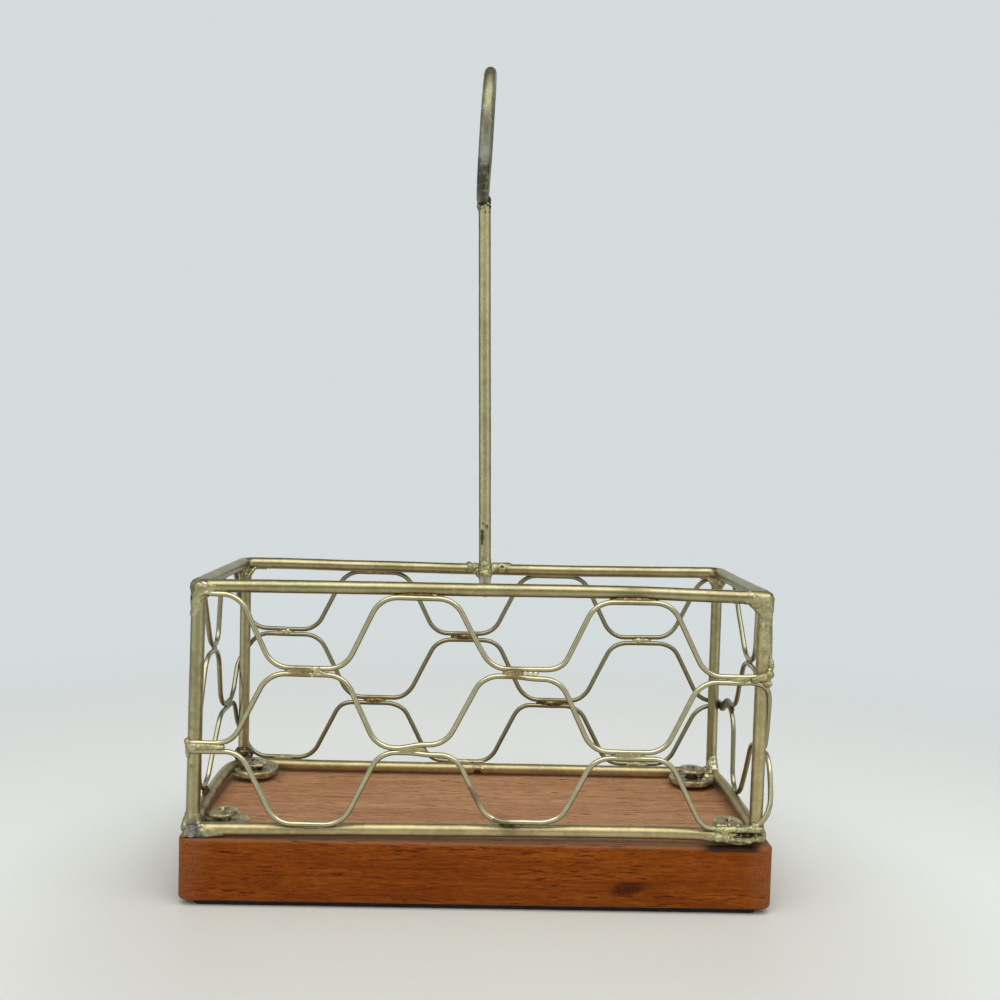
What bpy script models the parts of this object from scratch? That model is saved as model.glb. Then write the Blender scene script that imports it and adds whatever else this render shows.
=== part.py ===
"""Condiment caddy: a basket of painted rod and wire on a wooden board, carried by a post and a ring.

Run with: blender --background --python part.py
Lengths are metres. +Z is up, +X is to the right and the front faces -Y. The origin is on the table,
under the middle of the board.
"""

import math
from collections import namedtuple

import bmesh
import bpy
from mathutils import Vector

MM = 0.001

# Fits
CLEARANCE = 0.25 * MM  # between two pieces that touch or are welded

# Felt and board
FELT_THICKNESS = 1.5 * MM
FELT_SETBACK = 6.5 * MM  # from the board's edges
BOARD_THICKNESS = 19.5 * MM
BOARD_PAST_END_RAILS = 4.6 * MM  # from an end rail's centre to the board's end
BOARD_PAST_LONG_RAILS = 2.8 * MM  # from a long rail's centre to the board's side
BOARD_CORNER_RADIUS = 4.0 * MM
BOARD_EDGE_RADIUS = 1.2 * MM

# Rod frame
ROD_DIAMETER = 4.0 * MM
FRAME_LENGTH = 181.2 * MM  # between the centres of the two end rails
FRAME_DEPTH = 71.2 * MM  # between the centres of the front and back rails
FRAME_HEIGHT = 77.2 * MM  # between the centres of the lower and upper rails
FRAME_BEND_RADIUS = 4.5 * MM  # of the rod's centre line
POST_INSET = 0.6 * MM  # a post stands this far inside the corner of the rails' centre lines

# Crossbar and handle
CROSSBAR_OFFSET = 0.8 * MM  # to the right of the middle
HANDLE_DIAMETER = 4.2 * MM
HANDLE_LENGTH = 126.5 * MM  # of the straight post
HANDLE_LEAN = math.radians(-1.4)  # to the left
RING_OUTER_DIAMETER = 47.0 * MM
RING_LEAN = math.radians(1.0)  # to the right

# Honeycomb wires
WIRE_DIAMETER = 1.7 * MM
WIRE_BEND_RADIUS = 7.0 * MM
WIRE_UNDER_TOP_RAIL = 2.2 * MM  # between centres
WIRE_OVER_LOWER_RAIL = 2.4 * MM  # between centres
SLOPE_RUN = 11.4 * MM  # how far along the side a regular slope reaches
SLOPES_PER_LONG_SIDE = 5
CREST_EXTRA = 0.7 * MM  # a crest reaches this much further each way than a trough does
FRONT_FIRST_SLOPE = 18.9 * MM  # from the front left post
FRONT_LAST_SLOPE = 25.1 * MM  # from the front right post
BACK_FIRST_SLOPE = 11.2 * MM  # from the back right post
BACK_LAST_SLOPE = 32.8 * MM  # from the back left post

# Washers and screws
WASHER_DIAMETER = 17.0 * MM
WASHER_THICKNESS = 1.0 * MM
SCREW_DIAMETER = 4.0 * MM
SCREW_LENGTH = 16.0 * MM  # under the head
SCREW_TIP = 4.0 * MM
SCREW_PLAY = 0.5 * MM  # around the screw in its washer
SCREW_HEAD_DIAMETER = 9.8 * MM
SCREW_HEAD_HEIGHT = 2.2 * MM
SCREW_HEAD_RIM = 0.8 * MM
RECESS_SPAN = 5.0 * MM
RECESS_WIDTH = 1.2 * MM
RECESS_DEPTH = 1.1 * MM
PILOT_SPARE_DEPTH = 1.0 * MM  # below the screw's tip

# Facets
ROD_SIDES = 12
WIRE_SIDES = 8
BEND_STEPS = 4
RING_STEPS = 40
TURNED_STEPS = 32

# How one corner is fastened: which way it lies, how far the edge of its screw's head stays from the sides
# of the end rail and of the long rail, and how far the head stands proud of the washer.
Corner = namedtuple("Corner", "toward_x toward_y from_end_rail from_long_rail proud")
CORNERS = {
    "front_left": Corner(-1, -1, 0.3 * MM, 7.7 * MM, 0.3 * MM),
    "front_right": Corner(1, -1, 1.5 * MM, 0.9 * MM, 2.6 * MM),
    "back_left": Corner(-1, 1, 0.3 * MM, 1.7 * MM, 3.0 * MM),
    "back_right": Corner(1, 1, 2.7 * MM, 1.7 * MM, 3.8 * MM),
}

# How one wire runs: whether it is high or low at the front left post, how far its regular slopes on the
# front lie to the right of the pattern, in regular runs, and its hand-bent slopes at the two ends, as
# (share of the way from the side's first post to its second, run in regular runs).
Wire = namedtuple("Wire", "starts_high front_shift right_end left_end")
WIRES = {
    "upper_wire": Wire(
        True,
        0.00,
        ((0.050, 0.61), (0.229, 0.70), (0.639, 1.75)),
        ((-0.014, 1.00), (0.391, 0.35), (0.664, 1.00)),
    ),
    "middle_wire": Wire(
        False,
        -0.07,
        ((0.007, 0.70), (0.203, 0.79), (0.577, 1.00)),
        ((-0.029, 1.40), (0.393, 0.44), (0.723, 1.00)),
    ),
    "lower_wire": Wire(
        True,
        0.06,
        ((0.014, 0.70), (0.393, 1.14), (0.679, 0.26)),
        ((-0.021, 1.05), (0.507, 1.14), (0.829, 0.70)),
    ),
}

# Worked out from the values above
ROD_RADIUS = ROD_DIAMETER / 2
HANDLE_RADIUS = HANDLE_DIAMETER / 2
WIRE_RADIUS = WIRE_DIAMETER / 2
HALF_LENGTH = FRAME_LENGTH / 2
HALF_DEPTH = FRAME_DEPTH / 2
BOARD_LENGTH = FRAME_LENGTH + 2 * BOARD_PAST_END_RAILS
BOARD_DEPTH = FRAME_DEPTH + 2 * BOARD_PAST_LONG_RAILS
BOARD_BOTTOM = FELT_THICKNESS + CLEARANCE
BOARD_TOP = BOARD_BOTTOM + BOARD_THICKNESS
WASHER_BOTTOM = BOARD_TOP + CLEARANCE
WASHER_TOP = WASHER_BOTTOM + WASHER_THICKNESS
LOWER_RAIL_Z = WASHER_TOP + CLEARANCE + ROD_RADIUS
UPPER_RAIL_Z = LOWER_RAIL_Z + FRAME_HEIGHT
POST_X = HALF_LENGTH - POST_INSET
POST_Y = HALF_DEPTH - POST_INSET
WIRE_OFFSET = ROD_RADIUS + CLEARANCE + WIRE_RADIUS  # from a post's centre
WIRE_SPACING = WIRE_DIAMETER + CLEARANCE  # between the centres of two wires that meet


def clear_scene():
    for found in list(bpy.data.objects):
        bpy.data.objects.remove(found, do_unlink=True)


def make_material(name, colour, roughness, metallic):
    material = bpy.data.materials.new(name)
    material.use_nodes = True
    shader = material.node_tree.nodes["Principled BSDF"]
    shader.inputs["Base Color"].default_value = (*colour, 1.0)
    shader.inputs["Roughness"].default_value = roughness
    shader.inputs["Metallic"].default_value = metallic
    return material


def add_object(name, data, material):
    made = bpy.data.objects.new(name, data)
    data.materials.append(material)
    bpy.context.scene.collection.objects.link(made)
    return made


def add_bmesh(name, shape, material, smooth=False):
    bmesh.ops.recalc_face_normals(shape, faces=shape.faces)
    mesh = bpy.data.meshes.new(name)
    for face in shape.faces:
        face.smooth = smooth
    shape.to_mesh(mesh)
    shape.free()
    return add_object(name, mesh, material)


def add_rod(name, points, diameter, sides, material, closed=False):
    """A round rod along the points, with flat cut ends unless it is closed."""
    curve = bpy.data.curves.new(name, "CURVE")
    curve.dimensions = "3D"
    curve.bevel_depth = diameter / 2
    curve.bevel_resolution = (sides - 4) // 2
    curve.use_fill_caps = True
    spline = curve.splines.new("POLY")
    spline.points.add(len(points) - 1)
    for spline_point, point in zip(spline.points, points):
        spline_point.co = (*point, 1.0)
    spline.use_cyclic_u = closed
    return add_object(name, curve, material)


def add_turned(name, profile, material, centre, smooth=True):
    """A solid turned about the vertical through centre. The profile is a loop of (radius, height)."""
    shape = bmesh.new()
    rings = []
    for radius, height in profile:
        if radius == 0:
            rings.append([shape.verts.new((0, 0, height))] * TURNED_STEPS)
            continue
        ring = []
        for step in range(TURNED_STEPS):
            angle = 2 * math.pi * step / TURNED_STEPS
            ring.append(shape.verts.new((radius * math.cos(angle), radius * math.sin(angle), height)))
        rings.append(ring)
    on_axis = profile[0][0] == 0 and profile[-1][0] == 0
    for index in range(len(rings) - 1 if on_axis else len(rings)):
        ring, following = rings[index], rings[(index + 1) % len(rings)]
        for step in range(TURNED_STEPS):
            after = (step + 1) % TURNED_STEPS
            corners = dict.fromkeys((ring[step], ring[after], following[after], following[step]))
            shape.faces.new(list(corners))
    made = add_bmesh(name, shape, material, smooth)
    made.location = centre
    return made


def rounded_polyline(points, radius, steps, closed=False):
    """The polyline with each bend turned into an arc, limited by the lengths beside it."""
    points = [Vector(point) for point in points]
    count = len(points)
    if closed:
        bends = range(count)
    else:
        bends = range(1, count - 1)
    out = [] if closed else [points[0]]
    for index in bends:
        corner = points[index]
        back = points[index - 1] - corner
        ahead = points[(index + 1) % count] - corner
        turn = math.pi - back.angle(ahead)
        reach = radius * math.tan(turn / 2)
        reach = min(reach, 0.48 * back.length, 0.48 * ahead.length)
        bend = reach / math.tan(turn / 2)
        start = corner + back.normalized() * reach
        middle = corner + (back.normalized() + ahead.normalized()).normalized() * math.hypot(bend, reach)
        first = (start - middle).normalized()
        across = (corner - start).normalized()
        for step in range(steps + 1):
            angle = turn * step / steps
            out.append(middle + bend * (first * math.cos(angle) + across * math.sin(angle)))
    if not closed:
        out.append(points[-1])
    return out


def add_board(material):
    """The board, with eased edges. add_fastening cuts its four pilot holes."""
    shape = bmesh.new()
    bmesh.ops.create_cube(shape, size=1.0)
    bmesh.ops.scale(shape, vec=(BOARD_LENGTH, BOARD_DEPTH, BOARD_THICKNESS), verts=shape.verts)
    upright = [edge for edge in shape.edges if abs(edge.verts[0].co.z - edge.verts[1].co.z) > CLEARANCE]
    bmesh.ops.bevel(shape, geom=upright, offset=BOARD_CORNER_RADIUS, segments=5, profile=0.5, affect="EDGES")
    rims = [face for face in shape.faces if abs(face.normal.z) > 0.9]
    around = list({edge for face in rims for edge in face.edges})
    bmesh.ops.bevel(shape, geom=around, offset=BOARD_EDGE_RADIUS, segments=2, profile=0.5, affect="EDGES")
    bmesh.ops.translate(shape, vec=(0, 0, (BOARD_BOTTOM + BOARD_TOP) / 2), verts=shape.verts)
    return add_bmesh("base_board", shape, material)


def add_felt(material):
    shape = bmesh.new()
    bmesh.ops.create_cube(shape, size=1.0)
    size = (BOARD_LENGTH - 2 * FELT_SETBACK, BOARD_DEPTH - 2 * FELT_SETBACK, FELT_THICKNESS)
    bmesh.ops.scale(shape, vec=size, verts=shape.verts)
    bmesh.ops.translate(shape, vec=(0, 0, FELT_THICKNESS / 2), verts=shape.verts)
    return add_bmesh("felt_pad", shape, material)


def cut(target, cutter, name):
    cutter.hide_render = True
    cutter.display_type = "WIRE"
    boolean = target.modifiers.new(name, "BOOLEAN")
    boolean.operation = "DIFFERENCE"
    boolean.solver = "EXACT"
    boolean.object = cutter


def screw_centre(corner):
    beside_rail = ROD_RADIUS + SCREW_HEAD_DIAMETER / 2
    return Vector((
        corner.toward_x * (HALF_LENGTH - beside_rail - corner.from_end_rail),
        corner.toward_y * (HALF_DEPTH - beside_rail - corner.from_long_rail),
        0.0,
    ))


def add_fastening(name, corner, board, washer_material, screw_material):
    """One corner's washer and screw, and the pilot hole in the board."""
    centre = screw_centre(corner)
    hole_radius = SCREW_DIAMETER / 2 + SCREW_PLAY
    washer = (
        (hole_radius, WASHER_BOTTOM),
        (WASHER_DIAMETER / 2, WASHER_BOTTOM),
        (WASHER_DIAMETER / 2, WASHER_TOP),
        (hole_radius, WASHER_TOP),
    )
    add_turned("washer_" + name, washer, washer_material, centre, smooth=False)

    under_head = WASHER_TOP + CLEARANCE + corner.proud
    tip = under_head - SCREW_LENGTH
    head_radius = SCREW_HEAD_DIAMETER / 2
    screw = (
        (0, tip),
        (SCREW_DIAMETER / 2, tip + SCREW_TIP),
        (SCREW_DIAMETER / 2, under_head),
        (head_radius, under_head),
        (head_radius, under_head + SCREW_HEAD_RIM),
        (0.8 * head_radius, under_head + 0.8 * SCREW_HEAD_HEIGHT),
        (0.5 * head_radius, under_head + SCREW_HEAD_HEIGHT),
        (0, under_head + SCREW_HEAD_HEIGHT),
    )
    made = add_turned("screw_" + name, screw, screw_material, centre, smooth=False)
    cut(made, add_recess_cutter(name, centre, under_head + SCREW_HEAD_HEIGHT, screw_material), "Recess")

    pilot_radius = SCREW_DIAMETER / 2 + CLEARANCE
    pilot_bottom = tip - PILOT_SPARE_DEPTH
    pilot = (
        (0, pilot_bottom),
        (pilot_radius, pilot_bottom),
        (pilot_radius, BOARD_TOP + CLEARANCE),
        (0, BOARD_TOP + CLEARANCE),
    )
    cut(board, add_turned("pilot_cutter_" + name, pilot, screw_material, centre), "Pilot " + name)


def add_recess_cutter(name, centre, top, material):
    """The cross-shaped driver recess, tapering towards its floor."""
    arm, half = RECESS_SPAN / 2, RECESS_WIDTH / 2
    outline = (
        (arm, -half), (arm, half), (half, half), (half, arm), (-half, arm), (-half, half),
        (-arm, half), (-arm, -half), (-half, -half), (-half, -arm), (half, -arm), (half, -half),
    )
    shape = bmesh.new()
    rings = []
    for share, height in ((0.7, top - RECESS_DEPTH), (1.0, top + CLEARANCE)):
        rings.append([shape.verts.new((share * x, share * y, height)) for x, y in outline])
    shape.faces.new(rings[0])
    shape.faces.new(rings[1])
    for index in range(len(outline)):
        after = (index + 1) % len(outline)
        shape.faces.new((rings[0][index], rings[0][after], rings[1][after], rings[1][index]))
    made = add_bmesh("recess_cutter_" + name, shape, material)
    made.location = centre
    return made


def add_rail_frame(name, height, material):
    """One rod bent into a rectangle. Its two ends meet at the front left corner, where the front rail
    butts against the side of the left rail."""
    butt_x = -HALF_LENGTH + ROD_RADIUS + CLEARANCE
    cut_end_y = -POST_Y - ROD_RADIUS  # flush with the post's front
    corners = (
        (butt_x, -HALF_DEPTH, height),
        (HALF_LENGTH, -HALF_DEPTH, height),
        (HALF_LENGTH, HALF_DEPTH, height),
        (-HALF_LENGTH, HALF_DEPTH, height),
        (-HALF_LENGTH, cut_end_y, height),
    )
    points = rounded_polyline(corners, FRAME_BEND_RADIUS, BEND_STEPS)
    return add_rod(name, points, ROD_DIAMETER, ROD_SIDES, material)


def add_post(name, corner, material):
    x, y = corner.toward_x * POST_X, corner.toward_y * POST_Y
    foot = LOWER_RAIL_Z + ROD_RADIUS + CLEARANCE
    head = UPPER_RAIL_Z - ROD_RADIUS - CLEARANCE
    return add_rod("post_" + name, ((x, y, foot), (x, y, head)), ROD_DIAMETER, ROD_SIDES, material)


def add_handle(material):
    """The crossbar between the upper rails, the post that stands on it and the ring on the post."""
    reach = HALF_DEPTH - ROD_RADIUS - CLEARANCE
    ends = ((CROSSBAR_OFFSET, -reach, UPPER_RAIL_Z), (CROSSBAR_OFFSET, reach, UPPER_RAIL_Z))
    add_rod("crossbar", ends, ROD_DIAMETER, ROD_SIDES, material)

    up_post = Vector((math.sin(HANDLE_LEAN), 0, math.cos(HANDLE_LEAN)))
    foot_lift = abs(HANDLE_RADIUS * math.sin(HANDLE_LEAN))
    foot = Vector((CROSSBAR_OFFSET, 0, UPPER_RAIL_Z + ROD_RADIUS + CLEARANCE + foot_lift))
    head = foot + HANDLE_LENGTH * up_post
    add_rod("handle_post", (foot, head), HANDLE_DIAMETER, ROD_SIDES, material)

    up_ring = Vector((math.sin(RING_LEAN), 0, math.cos(RING_LEAN)))
    ring_radius = (RING_OUTER_DIAMETER - HANDLE_DIAMETER) / 2
    centre = head + CLEARANCE * up_post + (RING_OUTER_DIAMETER / 2) * up_ring
    circle = []
    for step in range(RING_STEPS):
        angle = 2 * math.pi * step / RING_STEPS
        circle.append(centre + ring_radius * (Vector((0, math.cos(angle), 0)) + math.sin(angle) * up_ring))
    add_rod("handle_ring", circle, HANDLE_DIAMETER, ROD_SIDES, material, closed=True)


def spaced(first, last, side, shift=0.0):
    """A long side's regular slopes, as (distance from its first post, run)."""
    step = (side - first - last) / (SLOPES_PER_LONG_SIDE - 1)
    first += shift * SLOPE_RUN
    return [(first + step * index, SLOPE_RUN) for index in range(SLOPES_PER_LONG_SIDE)]


def hand_bent(slopes, side):
    """An end's slopes, as (distance from its first post, run)."""
    return [(share * side, runs * SLOPE_RUN) for share, runs in slopes]


SIDE_NAMES = ("front", "right", "back", "left")
SIDE_LENGTHS = (2 * POST_X, 2 * POST_Y, 2 * POST_X, 2 * POST_Y)
CORNER_ARC = math.pi / 2 * WIRE_OFFSET
SIDE_STARTS = tuple(sum(SIDE_LENGTHS[:side]) + side * CORNER_ARC for side in range(4))
AROUND = sum(SIDE_LENGTHS) + 4 * CORNER_ARC


def on_wire_track(distance):
    """The point at this distance along the track that every wire takes around the outside of the posts."""
    distance %= AROUND
    side = max(index for index in range(4) if distance >= SIDE_STARTS[index])
    along = distance - SIDE_STARTS[side]
    heading = (Vector((1, 0)), Vector((0, 1)), Vector((-1, 0)), Vector((0, -1)))[side]
    outward = Vector((heading.y, -heading.x))
    first_post = ((-POST_X, -POST_Y), (POST_X, -POST_Y), (POST_X, POST_Y), (-POST_X, POST_Y))[side]
    straight = min(along, SIDE_LENGTHS[side])
    angle = (along - straight) / WIRE_OFFSET
    swung = outward * math.cos(angle) + heading * math.sin(angle)
    return Vector(first_post) + heading * straight + swung * WIRE_OFFSET


def wire_profile(wire, high, low):
    """The wire laid flat, as (distance around the basket, height), with its bends rounded."""
    front = spaced(FRONT_FIRST_SLOPE, FRONT_LAST_SLOPE, SIDE_LENGTHS[0], wire.front_shift)
    right = hand_bent(wire.right_end, SIDE_LENGTHS[1])
    back = spaced(BACK_FIRST_SLOPE, BACK_LAST_SLOPE, SIDE_LENGTHS[2])
    left = hand_bent(wire.left_end, SIDE_LENGTHS[3])
    level, other = (high, low) if wire.starts_high else (low, high)
    bends = []
    for start, slopes in zip(SIDE_STARTS, (front, right, back, left)):
        for distance, run in slopes:
            centre = start + distance + (CREST_EXTRA if level > other else -CREST_EXTRA)
            bends.append((centre - run / 2, level))
            bends.append((centre + run / 2, other))
            level, other = other, level
    before_first = (bends[-1][0] - AROUND, level)
    after_last = (bends[0][0] + AROUND, level)
    flat = [(x, 0, z) for x, z in [before_first, *bends, after_last]]
    return [(point.x, point.z) for point in rounded_polyline(flat, WIRE_BEND_RADIUS, BEND_STEPS)[1:-1]]


def height_at(laps, distance):
    for (before, low), (after, high) in zip(laps, laps[1:]):
        if before <= distance <= after:
            return low + (high - low) * (distance - before) / (after - before)


def add_wire(name, wire, high, low, material):
    """One wire, in four lengths that meet outside the posts, so that collision follows each one's bends."""
    profile = wire_profile(wire, high, low)
    laps = [(distance + lap * AROUND, height) for lap in (-1, 0, 1) for distance, height in profile]
    for side_name, start, length in zip(SIDE_NAMES, SIDE_STARTS, SIDE_LENGTHS):
        first = start - (CORNER_ARC - CLEARANCE) / 2
        last = start + length + (CORNER_ARC - CLEARANCE) / 2
        distances = [first, last]
        distances += [known for known, _ in laps if first + WIRE_RADIUS < known < last - WIRE_RADIUS]
        for step in range(-BEND_STEPS, BEND_STEPS + 1):
            for corner in (start - CORNER_ARC / 2, start + length + CORNER_ARC / 2):
                distance = corner + CORNER_ARC * step / BEND_STEPS
                clear = min(abs(distance - known) for known in distances) > WIRE_RADIUS / 2
                if clear and first < distance < last:
                    distances.append(distance)
        points = []
        for distance in sorted(distances):
            at = on_wire_track(distance)
            points.append((at.x, at.y, height_at(laps, distance)))
        add_rod(name + "_" + side_name, points, WIRE_DIAMETER, WIRE_SIDES, material)


def main():
    clear_scene()
    felt = make_material("felt", (0.02, 0.018, 0.016), 0.95, 0.0)
    wood = make_material("board_wood", (0.30, 0.13, 0.06), 0.5, 0.0)
    rod_paint = make_material("rod_paint", (0.42, 0.38, 0.22), 0.4, 0.7)
    wire_paint = make_material("wire_paint", (0.48, 0.43, 0.26), 0.35, 0.7)
    screw_paint = make_material("fastener_paint", (0.40, 0.35, 0.21), 0.45, 0.7)

    add_felt(felt)
    board = add_board(wood)
    for name, corner in CORNERS.items():
        add_fastening(name, corner, board, screw_paint, screw_paint)
        add_post(name, corner, rod_paint)
    add_rail_frame("lower_rail_frame", LOWER_RAIL_Z, rod_paint)
    add_rail_frame("upper_rail_frame", UPPER_RAIL_Z, rod_paint)
    add_handle(rod_paint)

    top = UPPER_RAIL_Z - WIRE_UNDER_TOP_RAIL
    bottom = LOWER_RAIL_Z + WIRE_OVER_LOWER_RAIL
    band = (top - bottom - (len(WIRES) - 1) * WIRE_SPACING) / len(WIRES)
    for index, (name, wire) in enumerate(WIRES.items()):
        high = top - index * (band + WIRE_SPACING)
        add_wire(name, wire, high, high - band, wire_paint)


main()
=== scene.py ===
import bisect
import math
import random

import bmesh
import bpy
from mathutils import Matrix, Vector, noise


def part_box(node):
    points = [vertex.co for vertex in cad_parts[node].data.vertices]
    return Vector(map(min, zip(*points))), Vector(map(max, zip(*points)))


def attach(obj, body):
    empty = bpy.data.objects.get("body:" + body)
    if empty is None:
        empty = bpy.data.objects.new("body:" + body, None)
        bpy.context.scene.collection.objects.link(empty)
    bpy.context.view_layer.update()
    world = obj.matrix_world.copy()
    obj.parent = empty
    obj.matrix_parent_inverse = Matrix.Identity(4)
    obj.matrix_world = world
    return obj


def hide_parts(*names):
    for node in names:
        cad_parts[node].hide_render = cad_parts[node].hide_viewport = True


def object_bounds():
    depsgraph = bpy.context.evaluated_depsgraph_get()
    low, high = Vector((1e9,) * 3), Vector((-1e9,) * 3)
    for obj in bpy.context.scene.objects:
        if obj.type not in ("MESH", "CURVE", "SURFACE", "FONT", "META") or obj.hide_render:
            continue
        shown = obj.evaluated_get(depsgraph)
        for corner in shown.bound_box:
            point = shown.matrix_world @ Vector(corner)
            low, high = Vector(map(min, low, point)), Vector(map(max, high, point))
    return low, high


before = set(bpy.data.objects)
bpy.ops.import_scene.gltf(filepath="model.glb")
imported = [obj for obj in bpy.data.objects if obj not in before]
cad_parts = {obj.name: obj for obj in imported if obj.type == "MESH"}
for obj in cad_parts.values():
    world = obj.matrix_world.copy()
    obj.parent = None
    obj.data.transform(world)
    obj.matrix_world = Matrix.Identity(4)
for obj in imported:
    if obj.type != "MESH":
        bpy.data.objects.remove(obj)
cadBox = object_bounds()
mm = 0.001
chance = random.Random(11)
print("frame:", len(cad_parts), "nodes")


class Val:  # a socket that takes part in plain arithmetic
    def __init__(self, sheet, socket):
        self.sheet = sheet
        self.socket = socket

    def sum(self, operation, first, second):
        return self.sheet.node("ShaderNodeMath", {"operation": operation}, {0: first, 1: second})

    def __add__(self, other):
        return self.sum("ADD", self, other)

    def __radd__(self, other):
        return self.sum("ADD", other, self)

    def __sub__(self, other):
        return self.sum("SUBTRACT", self, other)

    def __rsub__(self, other):
        return self.sum("SUBTRACT", other, self)

    def __mul__(self, other):
        return self.sum("MULTIPLY", self, other)

    def __rmul__(self, other):
        return self.sum("MULTIPLY", other, self)

    def most(self, other):
        return self.sum("MAXIMUM", self, other)

    def by(self, operation):
        return self.sheet.node("ShaderNodeMath", {"operation": operation}, {0: self})


class Sheet:  # a node tree, with one method that adds any node
    def __init__(self, tree):
        self.tree = tree

    def node(self, kind, settings=None, sockets=None, out=0):
        made = self.tree.nodes.new(kind)
        for key, value in (settings or {}).items():
            if key == "stops":
                elements = made.color_ramp.elements
                while len(elements) < len(value):
                    elements.new(1.0)
                for element, (position, colour) in zip(elements, value):
                    element.position, element.color = position, (*colour, 1.0)
            else:
                setattr(made, key, value)
        for key, value in (sockets or {}).items():
            self.feed(made.inputs[key], value)
        return Val(self, made.outputs[out])

    def feed(self, socket, value):
        if isinstance(value, Val):
            self.tree.links.new(value.socket, socket)
        elif socket.type == "RGBA":
            socket.default_value = (*value, 1.0)
        else:
            socket.default_value = value

    def seen(self):  # 1 where the camera, a gloss or glass looks
        path = self.node("ShaderNodeLightPath").socket.node
        kinds = ("Camera", "Glossy", "Transmission")
        camera, gloss, glass = (Val(self, path.outputs["Is %s Ray" % kind]) for kind in kinds)
        return camera.most(gloss).most(glass)


class Finish(Sheet):  # a material, with each point's place in mm
    def __init__(self, name):
        self.material = bpy.data.materials.new(name)
        self.material.use_nodes = True
        super().__init__(self.material.node_tree)
        self.shader = self.tree.nodes["Principled BSDF"]
        metres = self.node("ShaderNodeTexCoord", out="Object")
        self.place = self.vector("SCALE", {0: metres, "Scale": 1000.0})
        split = self.node("ShaderNodeSeparateXYZ", sockets={0: self.place}).socket.node
        self.x, self.y, self.z = (Val(self, socket) for socket in split.outputs)

    def vector(self, operation, sockets, out=0):
        return self.node("ShaderNodeVectorMath", {"operation": operation}, sockets, out)

    def cloud(self, size, stretch=(1.0, 1.0, 1.0), detail=3.0, rough=0.5, shift=0.0):
        spread = tuple(1.0 / (size * part) for part in stretch)
        moved = self.vector("MULTIPLY_ADD", {0: self.place, 1: spread, 2: (shift, shift, shift)})
        sockets = {"Vector": moved, "Scale": 1.0, "Detail": detail, "Roughness": rough}
        return self.node("ShaderNodeTexNoise", sockets=sockets)

    def mix(self, factor, first, second):
        return self.node("ShaderNodeMix", {"data_type": "RGBA"}, {0: factor, 6: first, 7: second}, out=2)

    def ramp(self, value, stops):
        return self.node("ShaderNodeValToRGB", {"stops": stops}, {0: value})

    def band(self, value, low, high):  # from 0 at low to 1 at high
        smooth = {"interpolation_type": "SMOOTHSTEP"}
        return self.node("ShaderNodeMapRange", smooth, {0: value, 1: low, 2: high})

    def mark(self, name):
        return self.node("ShaderNodeAttribute", {"attribute_name": name}, out="Fac")

    def bump(self, height, strength, depth):
        sockets = {"Height": height, "Strength": strength, "Distance": depth * mm}
        return self.node("ShaderNodeBump", sockets=sockets)

    def give(self, **sockets):
        for key, value in sockets.items():
            self.feed(self.shader.inputs[key.replace("_", " ")], value)
        return self.material


# gold paint: dark, mid, pale and burnt tones, then the share of each effect, the gloss and the grain
def tones(dark, mid, pale, burntAndShade, **shares):
    usual = {"rim": 0.3, "heat": 0.8, "mottle": 0.55, "fleck": 0.30, "rough": 0.34, "bump": 0.25}
    return {"dark": dark, "mid": mid, "pale": pale, "burntAndShade": burntAndShade, "metal": 0.95, **usual, **shares}


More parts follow.
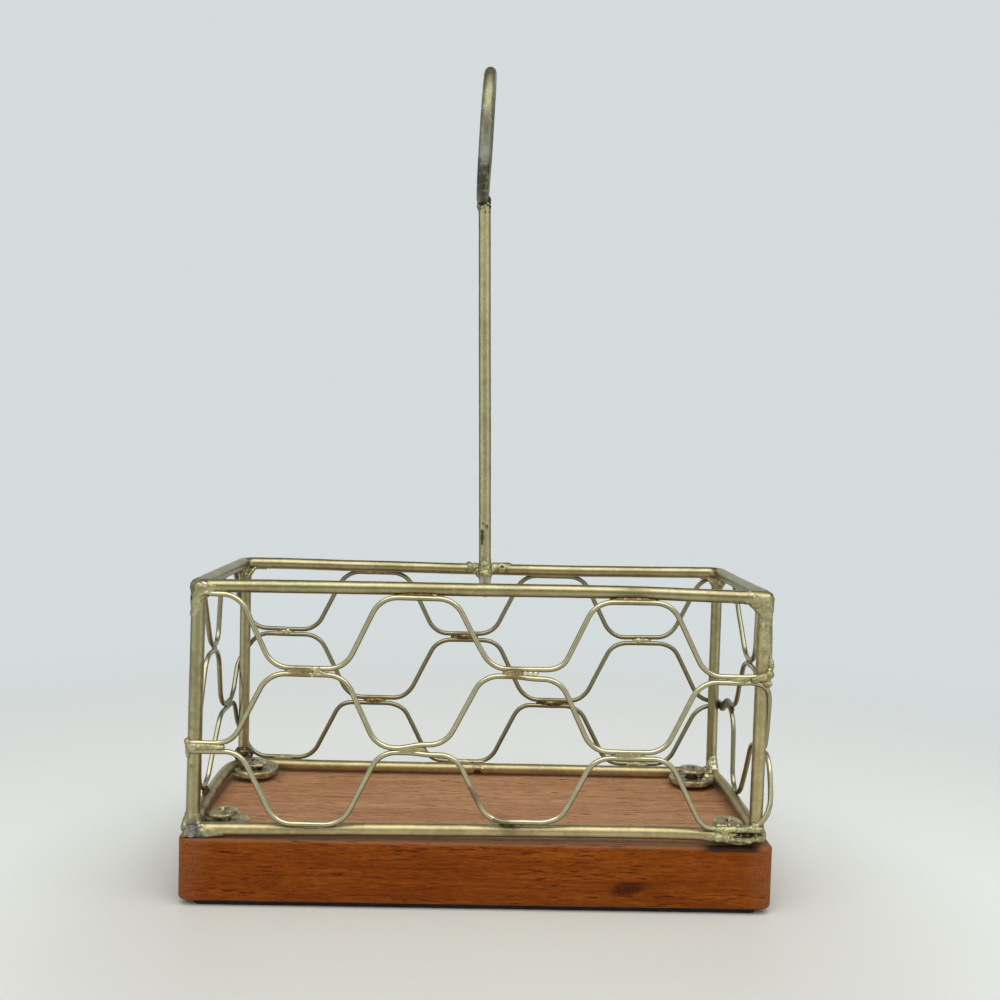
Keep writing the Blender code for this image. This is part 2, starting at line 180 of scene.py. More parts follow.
goldTones = {
    "rod": tones(
        (0.25, 0.215, 0.10), (0.475, 0.425, 0.235), (0.58, 0.53, 0.335), (0.10, 0.065, 0.03),
        rim=0.5, heat=0.7, under=0.3, core=0.5,
    ),
    "low_rail": tones(
        (0.33, 0.265, 0.125), (0.57, 0.475, 0.25), (0.66, 0.565, 0.335), (0.04, 0.028, 0.015),
        rim=0.5, heat=0.95, rough=0.42, under=0.15, core=0.3,
    ),
    "grip": tones(
        (0.41, 0.36, 0.175), (0.63, 0.57, 0.31), (0.73, 0.675, 0.425), (0.03, 0.022, 0.012),
        rim=0.45, heat=0.9, mottle=0.5, core=0.3,
    ),
    "wire": tones(
        (0.34, 0.305, 0.165), (0.53, 0.485, 0.295), (0.70, 0.655, 0.45), (0.12, 0.075, 0.03),
        rim=0.72, heat=0.72, mottle=0.30, fleck=0.06, rough=0.29, bump=0.05, under=0.7, lit=0.28,
        behind=(0.215, 0.20, 0.115),
    ),
    "weld": tones(
        (0.25, 0.215, 0.105), (0.49, 0.445, 0.245), (0.69, 0.64, 0.415), (0.018, 0.014, 0.009),
        rim=0.35, heat=1.0, mottle=0.85, fleck=0.45, rough=0.48, bump=0.75,
    ),
    "braze": tones(
        (0.22, 0.135, 0.05), (0.46, 0.33, 0.15), (0.70, 0.60, 0.34), (0.05, 0.03, 0.014),
        mottle=0.9, fleck=0.35, rough=0.38, bump=0.5,
    ),
    "umber": tones(
        (0.05, 0.028, 0.010), (0.16, 0.095, 0.035), (0.50, 0.39, 0.19), (0.03, 0.018, 0.008),
        mottle=0.9, fleck=0.35, rough=0.38, bump=0.5,
    ),
    # pale, glossy gold for braze and lumps: partly their own paler braze, partly painted highlight
    "bright": tones(
        (0.40, 0.34, 0.175), (0.70, 0.64, 0.42), (0.88, 0.84, 0.66), (0.10, 0.07, 0.03),
        mottle=0.7, fleck=0.2, rough=0.28, bump=0.3,
    ),
    # near white: painted highlight on the small beads, partly their own pale braze
    "bead": tones(
        (0.66, 0.60, 0.42), (0.90, 0.87, 0.70), (0.96, 0.94, 0.83), (0.10, 0.07, 0.03),
        rim=0.35, mottle=0.5, fleck=0.2, rough=0.24, bump=0.2,
    ),
    # near black: scorched paint, and painted shade where lumps fill dark gaps and crevices
    "scorch": tones(
        (0.014, 0.011, 0.008), (0.055, 0.043, 0.026), (0.62, 0.55, 0.32), (0.012, 0.010, 0.007),
        mottle=1.0, fleck=0.5, rough=0.42, bump=0.8,
    ),
    "fastener": tones(
        (0.16, 0.12, 0.058), (0.56, 0.47, 0.245), (0.82, 0.74, 0.48), (0.07, 0.045, 0.02),
        rim=0.25, heat=0.95, mottle=1.0, fleck=0.75, rough=0.36, bump=0.9, metal=0.6,
    ),
}
goldMake = {
    "broad": 11.0, "patch": 2.2, "fleck": 0.32, "grain": 0.08, "backFrom": -20.0, "backTo": 25.0,  # in mm
    "thin": (0.19, 0.135, 0.06), "paintedTopLight": (0.90, 0.85, 0.65), "rimShade": 0.22, "behind": 0.75, "bare": 0.9,
    "steel": (
        (0.32, (0.055, 0.056, 0.062)), (0.42, (0.17, 0.175, 0.185)),
        (0.54, (0.44, 0.45, 0.44)), (0.62, (0.80, 0.81, 0.78)),
    ),
}


def goldFinish(name, tone):
    paint = Finish(name)
    broad = paint.cloud(goldMake["broad"], detail=4.0)
    patch = paint.cloud(goldMake["patch"], detail=5.0, rough=0.62, shift=3.0)
    fleck = paint.cloud(goldMake["fleck"], detail=2.0, shift=9.0)
    dull = paint.band(broad * 0.6 + patch * 0.4, 0.58, 0.40)
    colour = paint.mix(dull * tone["mottle"], tone["mid"], tone["dark"])
    colour = paint.mix(paint.band(patch, 0.50, 0.72) * tone["mottle"], colour, tone["pale"])
    colour = paint.mix(paint.band(fleck, 0.50, 0.70) * tone["fleck"], colour, tone["pale"])
    colour = paint.mix(paint.band(fleck, 0.50, 0.30) * tone["fleck"], colour, tone["dark"])
    bare = paint.band(paint.mark("bare") + (patch - 0.5) * 0.8, 0.25, 0.75)
    steel = paint.ramp(patch * 0.6 + fleck * 0.4 - paint.mark("bare") * 0.12, goldMake["steel"])
    colour = paint.mix(bare * goldMake["bare"], colour, steel)
    # this mark carries burnt paint round the joints, and also painted shade in crevices and under the screw
    # heads
    burn = paint.band(paint.mark("scald") + (patch - 0.5) * 0.7, 0.25, 0.85) * tone["heat"]
    colour = paint.mix(burn, colour, tone["burntAndShade"])
    # painted shade: by Layer Weight facing the rims darken towards a dark shade, less on the upper side,
    # where the light falls
    edge = paint.node("ShaderNodeLayerWeight", sockets={"Blend": 0.5}, out="Facing")
    shade = tuple(part * goldMake["rimShade"] for part in tone["dark"])
    facing = paint.node("ShaderNodeTexCoord", out="Normal")
    up = paint.node("ShaderNodeSeparateXYZ", sockets={0: facing}, out="Z")
    dim = 1.0 - paint.band(up, 0.0, 0.5) * (0.95 if "lit" in tone else 0.6)  # less rim shade on top
    colour = paint.mix(paint.band(edge, 0.10, 0.62) * dim * tone["rim"], colour, shade)
    if "core" in tone:  # painted dark reflection along the line that faces the eye
        colour = paint.mix(paint.band(edge, 0.11, 0.01) * tone["core"], colour, tone["dark"])
    if "under" in tone:  # painted shade: darker and browner underneath, where less light falls
        colour = paint.mix(paint.band(up, 0.15, -0.75) * tone["under"], colour, goldMake["thin"])
    if "lit" in tone:  # painted light: paler on the upper side, where the light falls, less where the paint is burnt
        colour = paint.mix(paint.band(up, 0.05, 0.55) * (1.0 - burn) * tone["lit"], colour, goldMake["paintedTopLight"])
    if "behind" in tone:  # darker towards the back
        back = paint.band(paint.y, goldMake["backFrom"], goldMake["backTo"])
        colour = paint.mix(back * goldMake["behind"], colour, tone["behind"])
    rough = patch * 0.16 + fleck * 0.10 + burn * 0.15 + (tone["rough"] - 0.13)
    return paint.give(
        Base_Color=colour, Roughness=rough, Metallic=tone["metal"],
        Normal=paint.bump(patch * 0.5 + fleck * 0.5, tone["bump"], goldMake["grain"]),
    )


finishes = {key: goldFinish("gold_" + key, tone) for key, tone in goldTones.items()}


ringPaint = {
    "patch": 2.4, "fleck": 0.35, "sway": 7.0, "foot": 226.0, "rise": 54.0, "grain": 0.07,  # in mm
    "worn": (0.50, 0.46, 0.31), "dull": (0.12, 0.105, 0.06), "pits": (0.10, 0.085, 0.045),
    "upward": (  # gold, soot, bare steel, and old gold again
        (0.00, (0.40, 0.36, 0.20)), (0.12, (0.10, 0.09, 0.065)), (0.24, (0.11, 0.10, 0.078)),
        (0.32, (0.44, 0.43, 0.37)), (0.40, (0.36, 0.34, 0.265)), (0.52, (0.24, 0.23, 0.16)),
        (0.66, (0.28, 0.265, 0.155)), (0.84, (0.29, 0.275, 0.165)), (0.95, (0.15, 0.148, 0.10)),
    ),
}


def ringFinish():
    paint = Finish("gold_ring_worn")
    patch = paint.cloud(ringPaint["patch"], detail=5.0, rough=0.62)
    fleck = paint.cloud(ringPaint["fleck"], detail=2.0, shift=5.0)
    up = paint.z + (patch - 0.5) * ringPaint["sway"]
    colour = paint.ramp((up - ringPaint["foot"]) * (1.0 / ringPaint["rise"]), ringPaint["upward"])
    colour = paint.mix(paint.band(patch, 0.50, 0.68) * 0.65, colour, ringPaint["worn"])
    colour = paint.mix(paint.band(patch, 0.46, 0.30) * 0.55, colour, ringPaint["dull"])
    colour = paint.mix(paint.band(fleck, 0.48, 0.28) * 0.7, colour, ringPaint["pits"])
    return paint.give(
        Base_Color=colour, Roughness=patch * 0.2 + fleck * 0.12 + 0.24, Metallic=0.92,
        Normal=paint.bump(patch * 0.5 + fleck * 0.5, 0.7, ringPaint["grain"]),
    )


woodTones = {
    "sides": (
        (0.38, (0.120, 0.022, 0.0015)), (0.46, (0.185, 0.038, 0.002)),
        (0.54, (0.235, 0.053, 0.003)), (0.64, (0.310, 0.084, 0.009)),
    ),
    "upper": (
        (0.38, (0.29, 0.118, 0.050)), (0.46, (0.45, 0.220, 0.103)),
        (0.54, (0.55, 0.300, 0.156)), (0.64, (0.67, 0.415, 0.238)),
    ),
    "paintedMarginShade": (0.19, 0.078, 0.032), "rubbed": (0.33, 0.15, 0.075), "paintedShadowFrontRight": (0.009, 0.004, 0.003),
    "rings": (0.10, 0.026, 0.006), "pores": (0.045, 0.009, 0.003), "stain": (0.045, 0.006, 0.002),
    "edge": (0.28, 0.125, 0.055), "specks": (0.34, 0.155, 0.065),
}
woodPlaces = {  # from and to, in mm
    "top": (20.9, 21.55), "marginY": (35.2, 36.6), "marginX": (90.4, 92.0), "rubbed": (84.0, 95.0),
    "shadowLeft": (70.0, 76.0), "shadowRight": (92.0, 88.0), "shadowY": (-34.6, -36.0),
    "shadowZ": (20.3, 20.9), "sawn": (94.5, 95.1), "heart": -46.0, "stainX": 48.5, "stainZ": 8.0,
    "stainY": (-36.0, -37.6), "lowEdge": (2.9, 1.9), "highEdge": (20.5, 21.2),
}


def woodFinish():
    wood = Finish("board_hardwood")

    def within(value, name):
        return wood.band(value, *woodPlaces[name])

    sway = wood.cloud(26.0, (3.0, 1.0, 1.0), detail=2.0)
    figure = wood.cloud(4.2, (14.0, 1.0, 1.0), detail=3.0, shift=2.0)
    streak = wood.cloud(0.9, (20.0, 1.0, 1.0), detail=3.0, rough=0.6, shift=7.0)
    fibre = wood.cloud(0.30, (9.0, 1.0, 1.0), detail=2.0, shift=17.0)
    pore = wood.cloud(0.50, (12.0, 1.0, 1.0), detail=2.0, rough=0.55, shift=13.0)
    speck = wood.cloud(0.42, detail=2.0, shift=21.0)
    tone = figure * 0.26 + streak * 0.30 + fibre * 0.34 + sway * 0.1
    colour = wood.ramp(tone, woodTones["sides"])
    # the top face takes a paler ramp: partly painted sheen where the light runs across it, partly its own
    # paler, dustier finish
    upper = wood.ramp(tone, woodTones["upper"])
    top = within(wood.z, "top")
    # painted shade: outside the rails the top is darker, where the rails shade it
    aside = wood.x.by("ABSOLUTE")
    paintedMarginShade = within(wood.y.by("ABSOLUTE"), "marginY").most(within(aside, "marginX"))
    upper = wood.mix(paintedMarginShade * 0.85, upper, woodTones["paintedMarginShade"])
    colour = wood.mix(top * 0.85, colour, upper)
    # dusty, rubbed ends
    rubbed = within(aside + (sway - 0.5) * 14.0, "rubbed") * wood.band(speck, 0.30, 0.70)
    colour = wood.mix(rubbed * (1.0 - top) * 0.45, colour, woodTones["rubbed"])
    # painted shadow on the board's top front edge under the front right weld
    paintedShadowFrontRight = within(wood.x + (sway - 0.5) * 6.0, "shadowLeft") * within(wood.x, "shadowRight")
    paintedShadowFrontRight = paintedShadowFrontRight * within(wood.y, "shadowY") * within(wood.z, "shadowZ")
    colour = wood.mix(paintedShadowFrontRight * 0.95, colour, woodTones["paintedShadowFrontRight"])
    # year rings on the sawn ends
    heartUp = wood.z - woodPlaces["heart"]
    ring = (wood.y * wood.y + heartUp * heartUp).by("SQRT")
    wave = (ring * 2.4 + sway * 5.0).by("SINE")
    sawn = within(aside, "sawn")
    colour = wood.mix(sawn * wood.band(wave, -0.3, 0.9) * 0.6, colour, woodTones["rings"])
    pores = wood.band(pore, 0.575, 0.66) * wood.band(figure, 0.40, 0.56)
    colour = wood.mix(pores * 0.8, colour, woodTones["pores"])
    # the dark stain low on the front, right of the middle
    along = wood.x - woodPlaces["stainX"]
    across = along * 0.125 + (sway - 0.5) * 0.4
    upward = (wood.z - woodPlaces["stainZ"]) * 0.36 + (streak - 0.5) * 1.6 + along * -0.05
    stain = wood.band(across * across + upward * upward + (speck - 0.5) * 0.5, 1.0, 0.05)
    colour = wood.mix(stain * within(wood.y, "stainY") * 0.85, colour, woodTones["stain"])
    # painted highlight: paler lines along the eased bottom and top edges, the bottom one a painted reflection
    # of the floor
    edge = within(wood.z, "lowEdge").most(within(wood.z, "highEdge") * (1.0 - top))
    colour = wood.mix(edge * wood.band(speck, 0.35, 0.65) * 0.35, colour, woodTones["edge"])
    colour = wood.mix(wood.band(speck, 0.60, 0.74) * 0.4, colour, woodTones["specks"])
    rough = 0.40 + streak * 0.14 + pores * 0.2 + top * 0.04
    return wood.give(
        Base_Color=colour, Roughness=rough, Specular_IOR_Level=0.07,
        Normal=wood.bump(streak * 0.4 - pores * 0.8 + speck * 0.25, 0.35, 0.10),
    )


feltPaint = {"fuzz": 0.4, "tuft": 2.0, "dark": (0.006, 0.005, 0.005), "pale": (0.030, 0.026, 0.023)}


def feltFinish():
    felt = Finish("felt_dark")
    fuzz = felt.cloud(feltPaint["fuzz"], detail=4.0, rough=0.7)
    tuft = felt.cloud(feltPaint["tuft"], detail=3.0, shift=4.0)
    nap = felt.band(fuzz * 0.6 + tuft * 0.4, 0.35, 0.7)
    colour = felt.mix(nap, feltPaint["dark"], feltPaint["pale"])
    return felt.give(Base_Color=colour, Roughness=0.95, Normal=felt.bump(fuzz, 0.8, 0.25))


finishes["ring"] = ringFinish()
finishes["wood"] = woodFinish()
finishes["felt"] = feltFinish()
print("finishes:", len(finishes))


# the camera stands where the photograph was taken from
viewPoint = {
    "place": (-1.13 * mm, -376.05 * mm, 145.80 * mm),
    "right": (0.99958099, -0.01636464, 0.02387553),
    "up": (-0.02314465, 0.04348363, 0.99878601),
    "ahead": (0.01738296, 0.9989201, -0.04308666),
    "lens": 38.88,
    "sensor": 36.0,
}


def placeCamera():
    bpy.ops.object.camera_add()
    camera = bpy.context.object
    turn = Matrix((viewPoint["right"], viewPoint["up"], -Vector(viewPoint["ahead"]))).transposed()
    camera.matrix_world = Matrix.Translation(viewPoint["place"]) @ turn.to_4x4()
    camera.data.lens = viewPoint["lens"]
    camera.data.sensor_width = viewPoint["sensor"]
    camera.data.clip_start = 0.01
    bpy.context.scene.camera = camera


studio = {
    "sky": (0.665, 0.712, 0.716), "skySeen": 1.0, "skyLight": 0.95,
    "keyPlace": (0.10, -0.62, 1.15), "keyTarget": (0.0, 0.0, 0.09), "keySize": (2.2, 1.1),
    "keyPower": 14.0, "keyColour": (1.0, 0.96, 0.90),
    "floor": (0.735, 0.73, 0.69), "farFloor": (0.90, 0.915, 0.90), "floorReach": 2.0,
    "nearSpot": (0.0, -60.0, 0.0), "paler": (80.0, 200.0), "fade": (140.0, 480.0),  # in mm
    "flags": {  # dim cards out of sight: place, size, tilt and turn
        "flag_front": ((0.0, -0.90, 0.22), (1.3, 0.26), 90.0, 0.0),
        "flag_left": ((-0.50, 0.36, 0.26), (0.52, 0.52), 90.0, 90.0),
        "flag_right": ((0.50, 0.36, 0.26), (0.52, 0.52), 90.0, 90.0),
        "flag_top": ((0.0, 0.85, 1.15), (1.8, 1.3), 0.0, 0.0),
    },
    "flagTone": (0.13, 0.122, 0.11),
}


def glow(sheet):
    return sheet.seen() * (studio["skySeen"] - studio["skyLight"]) + studio["skyLight"]


def lightStudio():
    world = bpy.data.worlds.new("studio")
    bpy.context.scene.world = world
    world.use_nodes = True
    sky = Sheet(world.node_tree)
    background = world.node_tree.nodes["Background"]
    sky.feed(background.inputs["Color"], studio["sky"])
    sky.feed(background.inputs["Strength"], glow(sky))
    bpy.ops.object.light_add(type="AREA", location=studio["keyPlace"])
    key = bpy.context.object
    key.name = "key"
    key.data.shape = "RECTANGLE"
    key.data.size, key.data.size_y = studio["keySize"]
    key.data.energy = studio["keyPower"]
    key.data.color = studio["keyColour"]
    aim = Vector(studio["keyTarget"]) - Vector(studio["keyPlace"])
    key.rotation_euler = aim.to_track_quat("-Z", "Y").to_euler()
    key.visible_camera = False
    bpy.context.scene.view_settings.view_transform = "Standard"


def stageFinish(name, tone):
    plain = Finish(name)
    drift = plain.cloud(160.0, detail=2.0)
    grain = plain.cloud(0.8, detail=3.0, shift=5.0)
    shade = tuple(part * 0.95 for part in tone)
    colour = plain.mix(plain.band(drift * 0.7 + grain * 0.3, 0.3, 0.7), shade, tone)
    plain.colour = colour
    plain.give(Base_Color=colour, Roughness=0.6, Normal=plain.bump(grain, 0.05, 0.1))
    return plain


def layFloor():
    deselect()
    bpy.ops.mesh.primitive_circle_add(vertices=96, radius=studio["floorReach"], fill_type="NGON")
    floor = bpy.context.object
    floor.name = "floor"
    plain = stageFinish("floor_pale", studio["floor"])
    # far out the floor passes into the sky's tone, so that no edge shows
    away = plain.vector("LENGTH", {0: plain.place}, out="Value")
    # painted light: the floor is painted paler from 80 to 200 mm away from the near spot, making up for the
    # light that falls off there
    apart = plain.vector("DISTANCE", {0: plain.place, 1: studio["nearSpot"]}, out="Value")
    plain.give(Base_Color=plain.mix(plain.band(apart, *studio["paler"]), plain.colour, studio["farFloor"]))
    haze = plain.node("ShaderNodeEmission", sockets={"Color": studio["sky"], "Strength": glow(plain)})
    shown = Val(plain, plain.shader.outputs[0])
    faded = plain.band(away, *studio["fade"])
    surface = plain.node("ShaderNodeMixShader", sockets={0: faded, 1: shown, 2: haze})
    plain.feed(plain.tree.nodes["Material Output"].inputs["Surface"], surface)
    floor.data.materials.append(plain.material)

    # dim cards give the rods their darker sides
    dim = stageFinish("flag_dim", studio["flagTone"]).material
    for name, (place, size, tilt, turn) in studio["flags"].items():
        turns = (math.radians(tilt), 0.0, math.radians(turn))
        bpy.ops.mesh.primitive_plane_add(size=1.0, location=place, rotation=turns)
        flag = bpy.context.object
        flag.name = name
        flag.scale = (*size, 1.0)
        flag.data.materials.append(dim)
        flag.visible_camera = False


def deselect():
    bpy.ops.object.select_all(action="DESELECT")


def mode(name):
    bpy.ops.object.mode_set(mode=name)


def applyPlace():
    bpy.ops.object.transform_apply(location=True, rotation=True, scale=True)


def closeUp(apart):  # in edit mode: merges points this close, in mm, and turns the faces outwards
    bpy.ops.mesh.select_all(action="SELECT")
    bpy.ops.mesh.remove_doubles(threshold=apart * mm)
    bpy.ops.mesh.normals_make_consistent(inside=False)
    mode("OBJECT")


def pick(piece, kind, test):  # in edit mode: selects the edges or the faces that pass the test
    bpy.ops.mesh.select_mode(type=kind)
    shape = bmesh.from_edit_mesh(piece.data)
    for part in shape.edges if kind == "EDGE" else shape.faces:
        part.select_set(bool(test(part)))
    shape.select_flush_mode()
    bmesh.update_edit_mesh(piece.data)


def onlyThis(piece):
    deselect()
    piece.select_set(True)
    bpy.context.view_layer.objects.active = piece


def modify(piece, kind, **settings):
    onlyThis(piece)
    step = piece.modifiers.new(kind.lower(), kind)
    for key, value in settings.items():
        setattr(step, key, value)
    bpy.ops.object.modifier_apply(modifier=step.name)


lumps = {}


def roughen(piece, depth, size):
    key = "lumps_%g" % size
    if key not in lumps:
        lumps[key] = bpy.data.textures.new(key, "CLOUDS")
        lumps[key].noise_scale = size * mm
        lumps[key].noise_depth = 2
    modify(piece, "DISPLACE", texture=lumps[key], strength=depth * mm, mid_level=0.5, texture_coords="LOCAL")


def settle(piece, finish, nodes=(), angle=40.0):
    onlyThis(piece)
    applyPlace()
    bpy.ops.object.shade_smooth_by_angle(angle=math.radians(angle))
    piece.data.materials.clear()
    piece.data.materials.append(finishes[finish])
    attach(piece, "root")
    if nodes:
        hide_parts(*nodes)
    return piece


def sweep(name, points, radius, sides=20, closed=False):
    deselect()
    bpy.ops.curve.primitive_nurbs_path_add()
    path = bpy.context.object
    path.name = name
    path.data.splines.clear()
    spline = path.data.splines.new("POLY")
    spline.points.add(len(points) - 1)
    for knot, point in zip(spline.points, points):
        knot.co = (*point, 1.0)
    spline.use_cyclic_u = closed
    path.data.bevel_depth = radius
    path.data.bevel_resolution = (sides - 4) // 2
    path.data.use_fill_caps = not closed
    path.data.twist_mode = "MINIMUM"
    bpy.ops.object.convert(target="MESH")
    made = bpy.context.object
    made.data.name = name
    mode("EDIT")
    closeUp(0.0005)
    return made


def stepped(start, end, step):
    start, end = Vector(start), Vector(end)
    count = max(2, round((end - start).length / step))
    return [start.lerp(end, index / count) for index in range(count + 1)]


def roundedRun(points, radius, steps):
    points = [Vector(point) for point in points]
    out = [points[0]]
    for before, corner, after in zip(points, points[1:], points[2:]):
        back, ahead = before - corner, after - corner
        turn = math.pi - back.angle(ahead)
        reach = min(radius * math.tan(turn / 2), 0.48 * back.length, 0.48 * ahead.length)
        bend = reach / math.tan(turn / 2)
        start = corner + back.normalized() * reach
        middle = corner + (back.normalized() + ahead.normalized()).normalized() * math.hypot(bend, reach)
        first, across = (start - middle).normalized(), (corner - start).normalized()
        for step in range(steps + 1):
            angle = turn * step / steps
            out.append(middle + bend * (first * math.cos(angle) + across * math.sin(angle)))
    return out + [points[-1]]


def refined(points, step):
    out = [points[0]]
    for before, after in zip(points, points[1:]):
        out += stepped(before, after, step)[1:] if (after - before).length > 1.5 * step else [after]
    return out


def turned(name, profile, sides=48, closed=False):
    # turned about the vertical through the origin; a closed profile leaves a hole in the middle
    deselect()
    radius, height = profile[0]
    fill = "NOTHING" if closed else "NGON"
    start = (0.0, 0.0, height)
    bpy.ops.mesh.primitive_circle_add(vertices=sides, radius=radius, fill_type=fill, location=start)
    made = bpy.context.object
    made.name = name
    applyPlace()
    mode("EDIT")
    bpy.ops.mesh.select_mode(type="VERT")
    bpy.ops.mesh.select_all(action="SELECT")
    for nextRadius, nextHeight in [*profile[1:], *profile[:closed]]:
        bpy.ops.mesh.extrude_region_move(TRANSFORM_OT_translate={"value": (0.0, 0.0, nextHeight - height)})
        share = nextRadius / radius
        bpy.ops.transform.resize(value=(share, share, 1.0), center_override=(0.0, 0.0, nextHeight))
        radius, height = nextRadius, nextHeight
    closeUp(0.005)
    return made


heatSpots = []  # (point, reach, share) of every joint that was heated, for the burnt paint round it


def spotted(rows):  # from rows of x, y, z, reach and share, in mm
    return [(Vector(row[:3]) * mm, row[3] * mm, row[4]) for row in rows]


def markSpots(piece, name, spots):
    marks = piece.data.attributes.new(name, "FLOAT", "POINT")
    for index, vert in enumerate(piece.data.vertices):
        most = 0.0
        for point, reach, share in spots:
            away = (vert.co - point).length
            if away < 2.5 * reach:
                most = max(most, share * math.exp(-((away / reach) ** 2)))
        marks.data[index].value = most


def keepInside(piece):
    low, high = cadBox
    for vert in piece.data.vertices:
        for axis in range(3):
            vert.co[axis] = min(max(vert.co[axis], low[axis]), high[axis])


def run(start, end, firstSize, lastSize, spacing=1.1):
    # a row of lumps from start to end, in mm
    start, end = Vector(start), Vector(end)
    count = max(1, round((end - start).length / spacing))
    rows = []
    for index in range(count + 1):
        share = index / count
        size = firstSize + (lastSize - firstSize) * share
        rows.append((*start.lerp(end, share), size, size, size))
    return rows


def bead(name, blobs, finish, soft=5, rough=0.22, grain=0.8, voxel=0.22, slot="rod_paint"):
    deselect()
    parts = []
    for x, y, z, wide, deep, tall in blobs:
        bpy.ops.mesh.primitive_uv_sphere_add(
            segments=14, ring_count=9, radius=1.0, location=(x * mm, y * mm, z * mm),
            scale=(wide * mm, deep * mm, tall * mm),
        )
        parts.append(bpy.context.object)
    for part in parts:
        part.select_set(True)
    bpy.context.view_layer.objects.active = parts[0]
    bpy.ops.object.join()
    piece = bpy.context.object
    piece.name = name
    applyPlace()
    modify(piece, "REMESH", mode="VOXEL", voxel_size=voxel * mm)
    modify(piece, "SMOOTH", factor=0.5, iterations=soft)
    roughen(piece, rough, grain)
    roughen(piece, rough * 0.5, grain * 0.45)
    keepInside(piece)
    return settle(piece, finish, angle=75.0)


placeCamera()
lightStudio()
layFloor()
print("camera, light and floor")


def slab(name, low, high, less, corner, steps):  # a block with rounded corners, left in edit mode
    deselect()
    bpy.ops.mesh.primitive_cube_add(size=1.0, location=(low + high) / 2)
    piece = bpy.context.object
    piece.name = name
    piece.scale = high - low - less
    applyPlace()
    mode("EDIT")
    pick(piece, "EDGE", lambda edge: abs(edge.verts[0].co.z - edge.verts[1].co.z) > 0.5 * mm)
    bpy.ops.mesh.bevel(offset=corner * mm, segments=steps, affect="EDGES")
    return piece


def crossCuts(low, high, counts):  # along the length and the width, so that the wear has something to move
    for axis, count in enumerate(counts):
        for index in range(1, count):
            place, facing = Vector(), Vector()
            place[axis] = low[axis] + (high[axis] - low[axis]) * index / count
            facing[axis] = 1.0
            bpy.ops.mesh.select_all(action="SELECT")
            bpy.ops.mesh.bisect(plane_co=place, plane_no=facing)
    mode("OBJECT")


# the board's edges are eased by hand, and its top stands a little over the solid's
boardMake = {
    "corner": 4.0, "cornerSteps": 7, "topEase": 0.9, "topSteps": 4, "bottomEase": 1.2, "bottomSteps": 5,
    "shy": 0.12, "over": 0.55, "cuts": (48, 16), "wear": 0.22, "wearSize": 7.0,
}


def makeBoard():
    low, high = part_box("base_board")
    high.z += boardMake["over"] * mm
    shy = Vector((1.0, 1.0, 0.0)) * boardMake["shy"] * mm
    board = slab("board", low, high, 2 * shy, boardMake["corner"], boardMake["cornerSteps"])
    near = 0.1 * mm
    pick(board, "EDGE", lambda edge: all(vert.co.z > high.z - near for vert in edge.verts))
    bpy.ops.mesh.bevel(offset=boardMake["topEase"] * mm, segments=boardMake["topSteps"], affect="EDGES")
    pick(board, "EDGE", lambda edge: all(vert.co.z < low.z + near for vert in edge.verts))
    bpy.ops.mesh.bevel(offset=boardMake["bottomEase"] * mm, segments=boardMake["bottomSteps"], affect="EDGES")
    crossCuts(low, high, boardMake["cuts"])
    roughen(board, boardMake["wear"], boardMake["wearSize"])
    settle(board, "wood", ("base_board",), angle=35.0)


feltMake = {
    "corner": 2.5, "cornerSteps": 5, "thinner": 0.3, "wider": (1.5, 4.4, 0.0),  # wider on each side, in mm
    "cuts": (90, 32), "fray": 0.25, "fraySize": 1.8,
}


def makeFelt():
    low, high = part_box("felt_pad")
    wider = Vector(feltMake["wider"]) * mm
    low, high = low - wider, high + wider
    less = Vector((0.0, 0.0, feltMake["thinner"])) * mm
    felt = slab("felt_sheet", low, high, less, feltMake["corner"], feltMake["cornerSteps"])
    crossCuts(low, high, feltMake["cuts"])
    roughen(felt, feltMake["fray"], feltMake["fraySize"])
    settle(felt, "felt", ("felt_pad",), angle=50.0)


makeBoard()
makeFelt()
print("board and felt")


# each wire is one bent wave, once around the basket
wireMake = {
    "radius": 0.85, "bend": 8.5, "bendSteps": 7, "fromPost": 3.1, "slope": 11.4, "slopes": 5,
    "crestExtra": 0.7, "front": (18.9, 25.1), "back": (11.2, 32.8), "backSag": 0.8, "wobble": 0.16,
    "waver": 0.06, "shiver": 0.25, "inward": 0.1, "step": 1.4, "closest": 0.25, "sides": 16,
}
wireBends = {
    "upper_wire": {
        "startsHigh": True, "shift": 0.0,
        "frontEnds": ((0.0, -1.0), (0.7, 0.0), (-0.5, 0.0), (0.6, 0.0), (0.0, 0.0)),
        "backEnds": ((-0.8, -0.8), (1.1, 1.1), (0.0, 0.0), (1.0, 1.0), (0.0, 0.0)),
        "right": ((0.050, 0.61), (0.280, 0.15), (0.639, 1.75)),
        "left": ((-0.014, 1.00), (0.391, 0.35), (0.664, 1.00)),
    },
    "middle_wire": {
        "startsHigh": False, "shift": -0.07,
        "frontEnds": ((0.0, 0.0), (0.0, -0.9), (-0.5, -0.3), (0.0, -0.7), (0.9, 0.5)),
        "backEnds": ((0.0, 0.0), (-1.7, -1.7), (0.0, 0.0), (-1.7, -1.7), (0.0, 0.0)),
        "right": ((0.007, 0.70), (0.203, 0.79), (0.577, 1.00)),
        "left": ((-0.029, 1.40), (0.393, 0.44), (0.723, 1.00)),
    },
    "lower_wire": {
        "startsHigh": True, "shift": 0.06,
        "frontEnds": ((0.0, 0.0),) * 5,
        "backEnds": ((-1.0, -1.0), (1.5, 1.5), (0.0, 0.0), (2.0, 2.0), (0.9, 0.9)),
        "right": ((0.014, 0.70), (0.393, 1.14), (0.679, 0.26)),
        "left": ((-0.021, 1.05), (0.455, 1.14), (0.765, 0.70)),
    },
}
